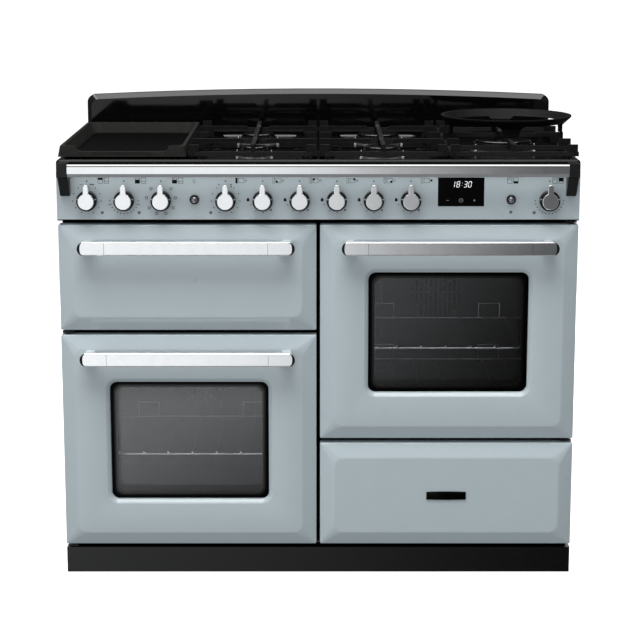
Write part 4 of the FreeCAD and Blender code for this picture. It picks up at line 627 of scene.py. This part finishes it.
ICON_RISE = 0.0418
ICON_Z = KNOB_Z + ICON_RISE
FIRST_ICON, SECOND_ICON = 0.0286, 0.0414
RIGHT_OVEN_ICON, WARMER_ICON = -0.0180, -0.0320
ICON_WIDTH, ICON_HEIGHT, ICON_SPLIT, ICON_LINE = 0.0104, 0.0124, 0.0016, 0.0009
HOB_ICON, HOB_LINE = 0.0325, 0.0008
# Places in the hob's drawing, from its middle: x, width and height
HOB_FIELD = (0.0005, 0.0120, 0.0100)
HOB_GRIDDLE = (-0.0095, 0.0044, 0.0118)
HOB_WOK = (0.0100, 0.0040, 0.0040)
# Places of the five burners in it, from its middle, and the radius of a filled one
HOB_BURNERS = [(-0.0028, -0.0024), (-0.0028, 0.0024), (0.0038, 0.0024), (0.0038, -0.0024),
               (0.0100, 0.0)]
HOB_DOT = 0.0024

BULB_RISE, BULB_INNER, BULB_OUTER = 0.0390, 0.0024, 0.0030
BULB_FOOT, BULB_STEP, BULB_WIDTH, BULB_LINE = 0.0352, 0.0009, 0.0024, 0.0005
LAMP_SIDE = {"grill_knob": 1, "left_oven_temperature_knob": 1, "hotplate_knob": -1,
             "right_oven_knob": -1}
LAMP_X, LAMP_DROP, LAMP_RADIUS = 0.0312, 0.0256, 0.0034
WARMER_LAMP_DROP = 0.0265
# Painted shade along the fascia's lower edge: height of the black strip, and how much narrower it
# is than the fascia
SHADE_STRIP, SHADE_STRIP_INSET = 0.0024, 0.001


def on_dial(x, degrees, radius):
    """Places on a circle about a knob, at angles from the top."""
    turn = np.radians(np.asarray(degrees, float))
    return np.column_stack([x + radius * np.sin(turn), DIAL_Z + radius * np.cos(turn)])


def round_dial(x, degrees, radius, size):
    """Dots on a circle about a knob."""
    return [dot(*place, size) for place in on_dial(x, degrees, radius)]


def dial_marks():
    """Grey and black outlines of the marks round the knobs."""
    grey = [dot(x, KNOB_Z + TOP_RISE, TOP_DOT) for x in KNOB_X.values()]
    for place in on_dial(KNOB_X["left_oven_function_knob"], BOX_DIAL, BOX_RADIUS):
        grey += hollow_box(*place, BOX_SIDE, BOX_SIDE, BOX_LINE)
    grey += [bar(KNOB_X[name] + dx, KNOB_Z + dz, width, height)
             for name, dx, dz, width, height in SPARE_BARS]
    black = [mark for name, dial in DIAL_OF.items()
             for mark in round_dial(KNOB_X[name], dial, DIAL_RADIUS, DIAL_DOT)]
    for name in HOB_KNOBS[1:]:
        black += round_dial(KNOB_X[name], BURNER_DIAL, BURNER_RADIUS, BURNER_DOT)
        black += round_dial(KNOB_X[name], LOW_DIAL, BURNER_RADIUS, LOW_DOT)
        black.append(flame(KNOB_X[name] + FLAME_X, DIAL_Z, FLAME_HEIGHT))
    black += [dot(KNOB_X["hotplate_knob"] + dx, KNOB_Z + dz, SPARE_DOT) for dx, dz in HOTPLATE_DOTS]
    return grey, black


def oven_icons(x, cell):
    """Two small front views of the cooker. cell is the (column, row) that is filled in black."""
    grey, black = [], []
    filled_column, filled_row = cell
    for column, (dx, split) in enumerate([(FIRST_ICON, ICON_SPLIT), (SECOND_ICON, -ICON_SPLIT)]):
        grey += hollow_box(x + dx, ICON_Z, ICON_WIDTH, ICON_HEIGHT, ICON_LINE)
        grey.append(bar(x + dx, ICON_Z + split, ICON_WIDTH, ICON_LINE))
        if column == filled_column:
            end = ICON_HEIGHT / 2 if filled_row == 0 else -ICON_HEIGHT / 2
            black.append(bar(x + dx, ICON_Z + (split + end) / 2, ICON_WIDTH, abs(end - split)))
    return grey, black


def hob_icon(x, place):
    """A small plan of the hob: field, wok burner, griddle, and the knob's own place in black."""
    grey = [line for dx, width, height in (HOB_FIELD, HOB_WOK, HOB_GRIDDLE)
            for line in hollow_box(x + dx, ICON_Z, width, height, HOB_LINE)]
    if place == 0:
        dx, width, height = HOB_GRIDDLE
        return grey, [bar(x + dx, ICON_Z, width, height)]
    dx, dz = HOB_BURNERS[place - 1]
    return grey, [dot(x + dx, ICON_Z + dz, HOB_DOT)]


def icons():
    """Grey and black outlines of all the small drawings over the knobs."""
    warmer_x = middle("drawer_warmer_button")[0]
    drawn = [oven_icons(x, cell) for x, cell in (
        (KNOB_X["grill_knob"], (0, 0)), (KNOB_X["left_oven_temperature_knob"], (0, 1)),
        (KNOB_X["left_oven_function_knob"], (0, 1)),
        (KNOB_X["right_oven_knob"] + RIGHT_OVEN_ICON, (1, 0)), (warmer_x + WARMER_ICON, (1, 1)))]
    drawn += [hob_icon(KNOB_X[name] + HOB_ICON, place) for place, name in enumerate(HOB_KNOBS)]
    all_grey = [mark for grey, _ in drawn for mark in grey]
    return all_grey, [mark for _, black in drawn for mark in black]


def panel_print():
    """All the print on the fascia, with the light's mark, the lamp lenses and the painted shade
    strip.
    """
    grey, black = (marks + drawings for marks, drawings in zip(dial_marks(), icons()))
    light_x, _, light_z = middle("light_button")
    grey += [bar(light_x, light_z + BULB_FOOT - drop, BULB_WIDTH, BULB_LINE)
             for drop in (0.0, BULB_STEP)]
    thin_ring("light_mark", light_x, light_z + BULB_RISE, BULB_INNER, BULB_OUTER, PANEL_Y,
              "printed_grey", "black_trim")
    lamps = [dot(KNOB_X[name] + side * LAMP_X, KNOB_Z - LAMP_DROP, LAMP_RADIUS)
             for name, side in LAMP_SIDE.items()]
    warmer_x, _, warmer_z = middle("drawer_warmer_button")
    lamps.append(dot(warmer_x, warmer_z - WARMER_LAMP_DROP, LAMP_RADIUS))
    # Painted shade: a black strip where the fascia's lower edge bends back into shadow
    low, high = span("control_panel")
    shade_strip = bar(0.0, low[2] + SHADE_STRIP / 2, high[0] - low[0] - SHADE_STRIP_INSET, SHADE_STRIP)
    print_on("panel_shade_strip", [shade_strip], "frame_black", PANEL_Y, "black_trim")
    print_on("panel_lines", grey, "printed_grey", PANEL_Y, "black_trim")
    print_on("panel_marks", black, "printed_black", PANEL_Y, "black_trim")
    print_on("panel_lamps", lamps, "lamp_lens", PANEL_Y, "display")


panel_print()


# Collars round the knobs

COLLAR_OUTER, COLLAR_INNER = 0.0213, 0.0176
COLLAR_BACK, COLLAR_FRONT = 0.0070, 0.0153
COLLAR_EDGE = 0.0012
# Painted glints on each collar: rise, width, height and lean of a pale dash
GLINT_RISE, GLINT_WIDTH, GLINT_HEIGHT, GLINT_LEAN = 0.0040, 0.0025, 0.0018, 0.9


def collars():
    """A deep ring round each knob's skirt: a closed profile turned once, with two pale painted
    glints.
    """
    profile = [(COLLAR_INNER, COLLAR_BACK), (COLLAR_OUTER, COLLAR_BACK),
               (COLLAR_OUTER, COLLAR_FRONT - COLLAR_EDGE),
               (COLLAR_OUTER - COLLAR_EDGE, COLLAR_FRONT), (COLLAR_INNER, COLLAR_FRONT)]
    rings = [ring_tube(turned_rows(profile, (x, PANEL_Y, KNOB_Z), FORWARDS, steps=48))
             for x in KNOB_X.values()]
    mesh_piece("knob_collars", *joined(rings), "satin_black", "cooker_body", "black_trim")
    # Painted highlights: two pale dashes on each collar's front
    glint_x = (COLLAR_OUTER + COLLAR_INNER - COLLAR_EDGE) / 2
    glints = [bar(x + side * glint_x, KNOB_Z + GLINT_RISE, GLINT_WIDTH, GLINT_HEIGHT,
                   lean=-side * GLINT_LEAN) for x in KNOB_X.values() for side in SIDES]
    print_on("collar_painted_glints", glints, "pale_tip", PANEL_Y - COLLAR_FRONT, "chrome")


collars()


# Handles

HANDLE_DEPTH, HANDLE_EDGE, HANDLE_FLAT = 0.012, 0.003, 0.0004
EDGE_STEPS = 8
HANDLE_SET_BACK = PRINT * 1.5
END_STRAIGHT = 0.0003
LEG_HALF = np.array([0.013, 0.0105])
LEG_ROUND, LEG_FLARE = 0.009, 0.0035
CRESCENT_TURN, CRESCENT_TAPER, CRESCENT_TIP = 1.25, 1.2566, 0.0001
END_SHADE = 0.0058
CAP_LENGTH = 0.056
SEAM, SEAM_SHARE = 0.0006, 1.7


def handle_bar(centre, half_w, half_h, front):
    """A round-ended bar: loops round a quarter circle at the back edge and at the front edge."""
    turn = np.linspace(0, math.pi / 2, EDGE_STEPS)
    back = front + HANDLE_DEPTH
    flat = HANDLE_EDGE + HANDLE_FLAT
    falling, rising = HANDLE_EDGE * (1 - np.sin(turn)), HANDLE_EDGE * (1 - np.cos(turn))
    steps = [(flat, back), *zip(falling, back - rising),
             *zip(rising, front + falling), (flat, front)]
    rows = [(half_w - inset, half_h - inset, half_h - inset - END_STRAIGHT, centre[2], y)
            for inset, y in steps]
    return capped_tube(loop_rows(centre[0], rows))


def handle_leg(x, z, front):
    """A leg that flares from the bar to the front it stands on."""
    rows = [(*(LEG_HALF + LEG_FLARE), LEG_ROUND + LEG_FLARE, z, FACE_Y + PRINT),
            (*LEG_HALF, LEG_ROUND, z, front + HANDLE_DEPTH / 2)]
    return capped_tube(loop_rows(x, rows))


def crescent(x, z, radius, depth, way, steps=18):
    """A crescent: an arc of a circle, and the same arc pulled in by depth * cos(taper * turn)."""
    turn = np.linspace(-CRESCENT_TURN, CRESCENT_TURN, steps)
    outer = np.column_stack([np.cos(turn), np.sin(turn)]) * radius
    pull = depth * np.cos(turn * CRESCENT_TAPER) + CRESCENT_TIP
    inner = outer - np.column_stack([pull, np.zeros(steps)])
    loop = np.concatenate([outer, inner[::-1]]) * [way, 1]
    return (loop if way > 0 else loop[::-1]) + [x, z]


def handle(node, body):
    """A handle with its two legs, painted shade on the rounded edges of its ends, and the seams of
    its end caps.
    """
    low, high = span(node)
    centre = (low + high) / 2
    x, _, z = centre
    half_w, _, half_h = (high - low) / 2
    front = low[1] + HANDLE_SET_BACK
    leg_x = half_w - half_h - LEG_FLARE
    parts = [handle_bar(centre, half_w, half_h, front)]
    parts += [handle_leg(x + side * leg_x, z, front) for side in SIDES]
    skin = mesh_piece(node + "_skin", *joined(parts), "polished_chrome", body, "chrome",
                      sharp=SOFT_ANGLE)
    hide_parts(node)
    # Painted shade: dark crescents on the rounded ends; the seams are the end caps' real dark
    # joints
    shapes = [crescent(x + side * (half_w - half_h), z, half_h, END_SHADE, side) for side in SIDES]
    seam_x = half_w - CAP_LENGTH
    shapes += [bar(x + side * seam_x, z, SEAM, half_h * SEAM_SHARE) for side in SIDES]
    print_on(node + "_seams_and_painted_shade", shapes, "smoked_chrome", low[1] + PRINT, "chrome", body)


handle("grill_handle", "grill_drawer")
handle("left_door_handle", "left_oven_door")
handle("right_door_handle", "right_oven_door")


# Clock

SEGMENTS = {"0": "abcdef", "1": "bc", "3": "abcdg", "8": "abcdefg"}
# The digits of the time, each with its place from the middle of the display
TIME = (("1", -0.0165), ("8", -0.0062), ("3", 0.0092), ("0", 0.0182))
TIME_RISE = 0.0160
DIGIT_WIDTH, DIGIT_HEIGHT, DIGIT_LINE, DIGIT_LEAN = 0.0056, 0.0118, 0.0008, 0.16
POST_CUT, FLAT_CUT = 1.3, 1.2
COLON_X, COLON_STEP = 0.0017, 0.0026
KEY_DROP = 0.0178
# A minus, a plus in three bars and two clock hands: place from the middle key, width and height
KEY_BARS = [(-0.0280, 0.0, 0.0052, 0.0010), (0.0280, 0.0, 0.0052, 0.0010),
            (0.0280, -0.0016, 0.0010, 0.0021), (0.0280, 0.0016, 0.0010, 0.0021),
            (0.0, 0.0010, 0.0008, 0.0026), (0.0008, -0.0002, 0.0022, 0.0008)]
KEY_INNER, KEY_OUTER = 0.0036, 0.0044


def digit(sign, x, z):
    """Seven leaning bars, of which a digit lights some."""
    right, top, line = DIGIT_WIDTH / 2, DIGIT_HEIGHT / 2, DIGIT_LINE
    post = top - line * POST_CUT
    flat = DIGIT_WIDTH - line * FLAT_CUT
    places = {"a": (0, top, flat, line), "g": (0, 0, flat, line), "d": (0, -top, flat, line),
              "b": (right, top / 2, line, post), "c": (right, -top / 2, line, post),
              "f": (-right, top / 2, line, post), "e": (-right, -top / 2, line, post)}
    return [bar(x + dx + dz * DIGIT_LEAN, z + dz, width, height, DIGIT_LEAN)
            for dx, dz, width, height in (places[key] for key in SEGMENTS[sign])]


def clock_face():
    """The lit time and the dim touch marks on the clock's glass."""
    x, _, mid_z = middle("clock_display")
    glass_y = span("clock_display")[0][1]
    z = mid_z + TIME_RISE
    lit = [shape for sign, dx in TIME for shape in digit(sign, x + dx, z)]
    lit += [bar(x + COLON_X + dz * DIGIT_LEAN, z + dz, DIGIT_LINE, DIGIT_LINE, DIGIT_LEAN)
            for dz in (-COLON_STEP, COLON_STEP)]
    print_on("clock_digits", lit, "lit_digit", glass_y, "switch_plastic")
    key_z = mid_z - KEY_DROP
    keys = [bar(x + dx, key_z + dz, width, height) for dx, dz, width, height in KEY_BARS]
    print_on("clock_keys", keys, "dim_mark", glass_y, "switch_plastic")
    thin_ring("clock_key_ring", x, key_z, KEY_INNER, KEY_OUTER, glass_y, "dim_mark",
              "switch_plastic")


clock_face()


# Button caps

CAP_INSET, CAP_RISE = 0.0002, 0.0042
CAP_END = math.pi / 2 - 0.02


def button_cap(node, body):
    """A chrome dome on a button's face."""
    low, high = span(node)
    x, _, z = middle(node)
    profile = dome_profile((high[0] - low[0]) / 2 - CAP_INSET, CAP_RISE, CAP_END, steps=14)
    cap = turned(profile, (x, low[1] + CAP_INSET, z), FORWARDS, steps=32)
    mesh_piece(node + "_cap", *cap, "button_chrome", body, "chrome")


button_cap("light_button", "light_push")
button_cap("drawer_warmer_button", "warmer_push")


# Spark electrodes and flame probes beside the burners

# Pan support over a burner, its row from front to back, and the burner's radius
BURNERS = [("pan_support_left", -1, 0.038), ("pan_support_left", 1, 0.048),
           ("pan_support_centre", -1, 0.048), ("pan_support_centre", 1, 0.058),
           ("pan_support_right", 0, 0.073)]
ELECTRODE_GAP, ELECTRODE_TURN = 0.009, 0.9
POST_PROFILE = [(0.0030, 0.0), (0.0030, 0.005), (0.0021, 0.006), (0.0021, 0.012), (0.0015, 0.013)]
PIN_PROFILE = [(0.0009, 0.012), (0.0009, 0.0185), (0.0004, 0.0192)]


def electrodes():
    """Two small turned posts in front of each burner: a glazed body, a shoulder and a thin pin."""
    places = []
    for support, row, radius in BURNERS:
        reach = radius + ELECTRODE_GAP
        x, dx = middle(support)[0], reach * math.sin(ELECTRODE_TURN)
        y = row * BURNER_STEP - reach * math.cos(ELECTRODE_TURN)
        places += [(x - side * dx, y, DISH_Z) for side in SIDES]
    posts = [turned(POST_PROFILE, place, UP, steps=16) for place in places]
    pins = [turned(PIN_PROFILE, place, UP, steps=10) for place in places]
    mesh_piece("electrode_posts", *joined(posts), "electrode_ceramic", "cooker_body",
               "switch_plastic")
    mesh_piece("electrode_pins", *joined(pins), "bright_wire", "cooker_body", "wire")


electrodes()


# Raised rims of the wells round the burners

DISH_DEPTH = 0.003
WELL_Z = DISH_Z + DISH_DEPTH
WELL_HALF = np.array([0.105, 0.131])
WELL_ROUND = 0.045
# Growth of the well's outline, and height
WELL_SECTION = [(-0.0036, -0.0002), (0.0016, -0.0002), (0.0012, 0.0024), (0.0, 0.0030),
                (-0.0031, 0.0002)]


def well_rims():
    """A soft ramp up to a low rim round a burner: rounded loops carried round a closed section."""
    rims = []
    for support, row, _ in BURNERS:
        if row == 0:
            continue
        place = [middle(support)[0], row * BURNER_STEP]
        rows = []
        for grow, z in WELL_SECTION:
            loop = rounded_loop(*(WELL_HALF + grow), WELL_ROUND + grow, steps=16) + place
            rows.append(np.column_stack([loop, np.full(len(loop), WELL_Z + z)]))
        rims.append(ring_tube(np.stack(rows)))
    mesh_piece("well_rims", *joined(rims), "upstand_enamel", "cooker_body", "black_enamel")


well_rims()


# Tips of the oven shelves' bars

SHELF_BARS, SHELF_INSET = 7, 0.0079
TIP_RADIUS, TIP_SET_BACK, TIP_END = 0.0021, 0.0003, 1.5
CAVITY_HEIGHT = 0.380
# Ledges of the racks, as shares of the cavity's height
LOWEST_LEDGE, SECOND_LEDGE, HIGHEST_LEDGE = 0.09, 0.35, 0.84
ROD_RADIUS, CROSS_RADIUS, BAR_STEP, SHELF_GAP = 0.0030, 0.0024, 0.0039, 0.0003
BAR_LIFT = CROSS_RADIUS + ROD_RADIUS + SHELF_GAP + BAR_STEP
LEVEL_STEP = CAVITY_HEIGHT * (SECOND_LEDGE - LOWEST_LEDGE)
RACK_FOOT = ROD_RADIUS * 2 + BAR_LIFT
RACK_RISE = ROD_RADIUS * 2 + CAVITY_HEIGHT * (HIGHEST_LEDGE - LOWEST_LEDGE) - BAR_LIFT


def shelf_tips():
    """A small dome on the front end of every shelf bar, pale white as a painted highlight."""
    low, high = span("oven_racking")
    left_x, right_x = middle("left_oven_cavity")[0], middle("right_oven_cavity")[0]
    half = left_x - low[0] - SHELF_INSET
    bars_x = half * 2 / (SHELF_BARS + 1) * (np.arange(SHELF_BARS) - (SHELF_BARS - 1) / 2)
    left_z, right_z = low[2] + RACK_FOOT, high[2] - RACK_RISE
    shelves = [(left_x, left_z + LEVEL_STEP), (right_x, right_z), (right_x, right_z + LEVEL_STEP)]
    dome = dome_profile(TIP_RADIUS, TIP_RADIUS, TIP_END, steps=6)
    tips = [turned(dome, (mid + x, low[1] + TIP_SET_BACK, z), FORWARDS, steps=12)
            for mid, z in shelves for x in bars_x]
    # Painted highlight: the tips are pale where the wire ends would catch the light
    mesh_piece("shelf_tips", *joined(tips), "pale_tip", "cooker_body", "wire")


shelf_tips()


# Screws on the casing

SCREW_MARGIN, SCREWS_ACROSS, SCREWS_UP = 0.014, 6, 5
SCREW_HEAD = [(0.0042, 0.0), (0.0042, 0.0006), (0.0034, 0.0016), (0.0018, 0.0022), (0.0004, 0.0024)]


def screws():
    """Domed screw heads along the edges of the back panel and along both side panels."""
    low, high = span("back_panel")
    xs = np.linspace(low[0] + SCREW_MARGIN, high[0] - SCREW_MARGIN, SCREWS_ACROSS)
    zs = np.linspace(low[2] + SCREW_MARGIN, high[2] - SCREW_MARGIN, SCREWS_UP)
    back = [(x, z) for x in xs for z in (zs[0], zs[-1])]
    back += [(x, z) for x in (xs[0], xs[-1]) for z in zs[1:-1]]
    heads = [turned(SCREW_HEAD, (x, high[1], z), BACKWARDS, steps=14) for x, z in back]
    side_low, side_high = span("side_panels")
    for x, way in ((side_low[0], -1), (side_high[0], 1)):
        heads += [turned(SCREW_HEAD, (x, y, z), (way, 0, 0), steps=14)
                  for y in (side_low[1] + SCREW_MARGIN, side_high[1] - SCREW_MARGIN) for z in zs]
    mesh_piece("casing_screws", *joined(heads), "galvanised_steel", "cooker_body", "galvanised")


screws()


# Stage, light and camera

FLOOR_SIDE, FLOOR_FRONT, FLOOR_BACK = 30, -0.72, 40
WHITE = (1, 1, 1, 1)
ROOM_TINT = (0.97, 0.985, 1, 1)
# Steps of the room's brightness over X, Y or Z of a direction: from, to, and the value at both
ROOM_AHEAD, ROOM_FACING = (-0.8, 0.8, 0.69, 0.38), (-0.6, 0.0, 1, 0.25)
PANEL_FRONT, PANEL_LOW = (-0.9, -0.7, 1, 0), (-0.04, 0.1, 1, 0)
PANEL_ACROSS, PANEL_FALL = (-0.15, 0.15, 0, 1), (-0.285, -0.195, 0.45, 1.17)
PANEL_GLOW = (-0.245, -0.23, 1.3, 1.0)
# Place across the bright panel, and its grey there
PANEL_FADE = [(0.0, 1.0), (0.4, 0.91), (0.52, 0.72), (0.6, 0.47), (0.88, 0.11)]
PANEL_SLANT = -0.45
SENSOR, LENS, LENS_SHIFT = 36.0, 107.0, 0.0028
CAMERA_PLACE, CAMERA_DIP = (0.0, -4.215, 1.375), 11.63


def floor():
    """A pale floor that reads white and takes the shadow, but isn't seen in reflections."""
    corners = [(-FLOOR_SIDE, FLOOR_FRONT, 0), (FLOOR_SIDE, FLOOR_FRONT, 0),
               (FLOOR_SIDE, FLOOR_BACK, 0), (-FLOOR_SIDE, FLOOR_BACK, 0)]
    mesh = bpy.data.meshes.new("floor")
    mesh.from_pydata(corners, [], [[0, 1, 2, 3]])
    obj = bpy.data.objects.new("floor", mesh)
    scene.collection.objects.link(obj)
    mat, _, shader = new_finish("pale_floor")
    put(shader, {"Base Color": (0.8, 0.8, 0.8, 1), "Roughness": 0.8, "Specular IOR Level": 0.1,
                 "Emission Color": WHITE, "Emission Strength": 0.9})
    mesh.materials.append(mat)
    obj.visible_glossy = False
    obj.visible_diffuse = False


def area(name, place, aim, width, height, power, shine=True, spread=True):
    """A soft rectangular light turned towards a point.

    It can be kept out of reflections with shine, or out of soft light with spread.
    """
    data = bpy.data.lights.new(name, "AREA")
    data.shape = "RECTANGLE"
    data.size = width
    data.size_y = height
    data.energy = power
    obj = bpy.data.objects.new(name, data)
    scene.collection.objects.link(obj)
    obj.location = place
    obj.rotation_euler = (Vector(aim) - Vector(place)).to_track_quat("-Z", "Y").to_euler()
    obj.visible_camera = False
    obj.visible_glossy = shine
    obj.visible_diffuse = spread


def room_strength(tree):
    """How bright the room is in a direction.

    It is a grey that falls off to the right and to the back, with a low bright panel in front.
    The panel fades to the right, and its lower edge slants down to the left.
    """
    x, y, z = coordinates(tree, "Generated")
    across = level(tree, x, *PANEL_ACROSS, "LINEAR")
    fade = blend(tree, across, [(place, (grey, grey, grey)) for place, grey in PANEL_FADE])
    slant = tree.nodes.new("ShaderNodeMath")
    slant.operation = "MULTIPLY_ADD"
    tree.links.new(x, slant.inputs[0])
    slant.inputs[1].default_value = PANEL_SLANT
    tree.links.new(z, slant.inputs[2])
    fall = level(tree, slant.outputs["Value"], *PANEL_FALL)
    glow = level(tree, z, *PANEL_GLOW)
    panel = combined(tree, "MULTIPLY", combined(tree, "MULTIPLY", fade, fall), glow)
    front = level(tree, y, *PANEL_FRONT)
    low = level(tree, z, *PANEL_LOW)
    ahead = level(tree, x, *ROOM_AHEAD)
    facing = level(tree, y, *ROOM_FACING)
    strength = tree.nodes.new("ShaderNodeMix")
    strength.data_type = "FLOAT"
    tree.links.new(combined(tree, "MULTIPLY", front, low), strength.inputs["Factor"])
    tree.links.new(combined(tree, "MULTIPLY", ahead, facing), strength.inputs["A"])
    tree.links.new(panel, strength.inputs["B"])
    return strength.outputs["Result"]


def studio_world():
    """White behind the object, and the room for light and reflections."""
    world = bpy.data.worlds.new("studio")
    scene.world = world
    world.use_nodes = True
    tree = world.node_tree
    back = tree.nodes["Background"]
    put(back, {"Color": WHITE, "Strength": 1.0})
    room = tree.nodes.new("ShaderNodeBackground")
    put(room, {"Color": ROOM_TINT})
    tree.links.new(room_strength(tree), room.inputs["Strength"])
    path = tree.nodes.new("ShaderNodeLightPath")
    mix = tree.nodes.new("ShaderNodeMixShader")
    tree.links.new(path.outputs["Is Camera Ray"], mix.inputs["Fac"])
    tree.links.new(room.outputs["Background"], mix.inputs[1])
    tree.links.new(back.outputs["Background"], mix.inputs[2])
    tree.links.new(mix.outputs["Shader"], tree.nodes["World Output"].inputs["Surface"])


floor()
studio_world()
area("overhead", (0.0, 0.3, 3.0), (0.0, 0.3, 0.0), width=3.4, height=1.5, power=100, spread=False)
area("key", (-0.6, -2.2, 5.4), (0.0, -0.28, 0.45), width=4.0, height=2.4, power=235)
for name, side in (("left_side", -1), ("right_side", 1)):
    area(name, (side * 2.6, 1.3, 0.9), (side * 0.55, 0.0, 0.5), width=1.2, height=1.4, power=30,
         shine=False)
area("behind", (0.0, 3.0, 0.45), (0.0, 0.3, 0.45), width=3.0, height=0.7, power=40)

camera_data = bpy.data.cameras.new("camera")
camera = bpy.data.objects.new("camera", camera_data)
scene.collection.objects.link(camera)
scene.camera = camera
camera_data.sensor_width = SENSOR
camera_data.lens = LENS
camera_data.shift_x = LENS_SHIFT
camera.location = CAMERA_PLACE
camera.rotation_euler = (math.radians(90 - CAMERA_DIP), 0, 0)
scene.view_settings.view_transform = "Standard"
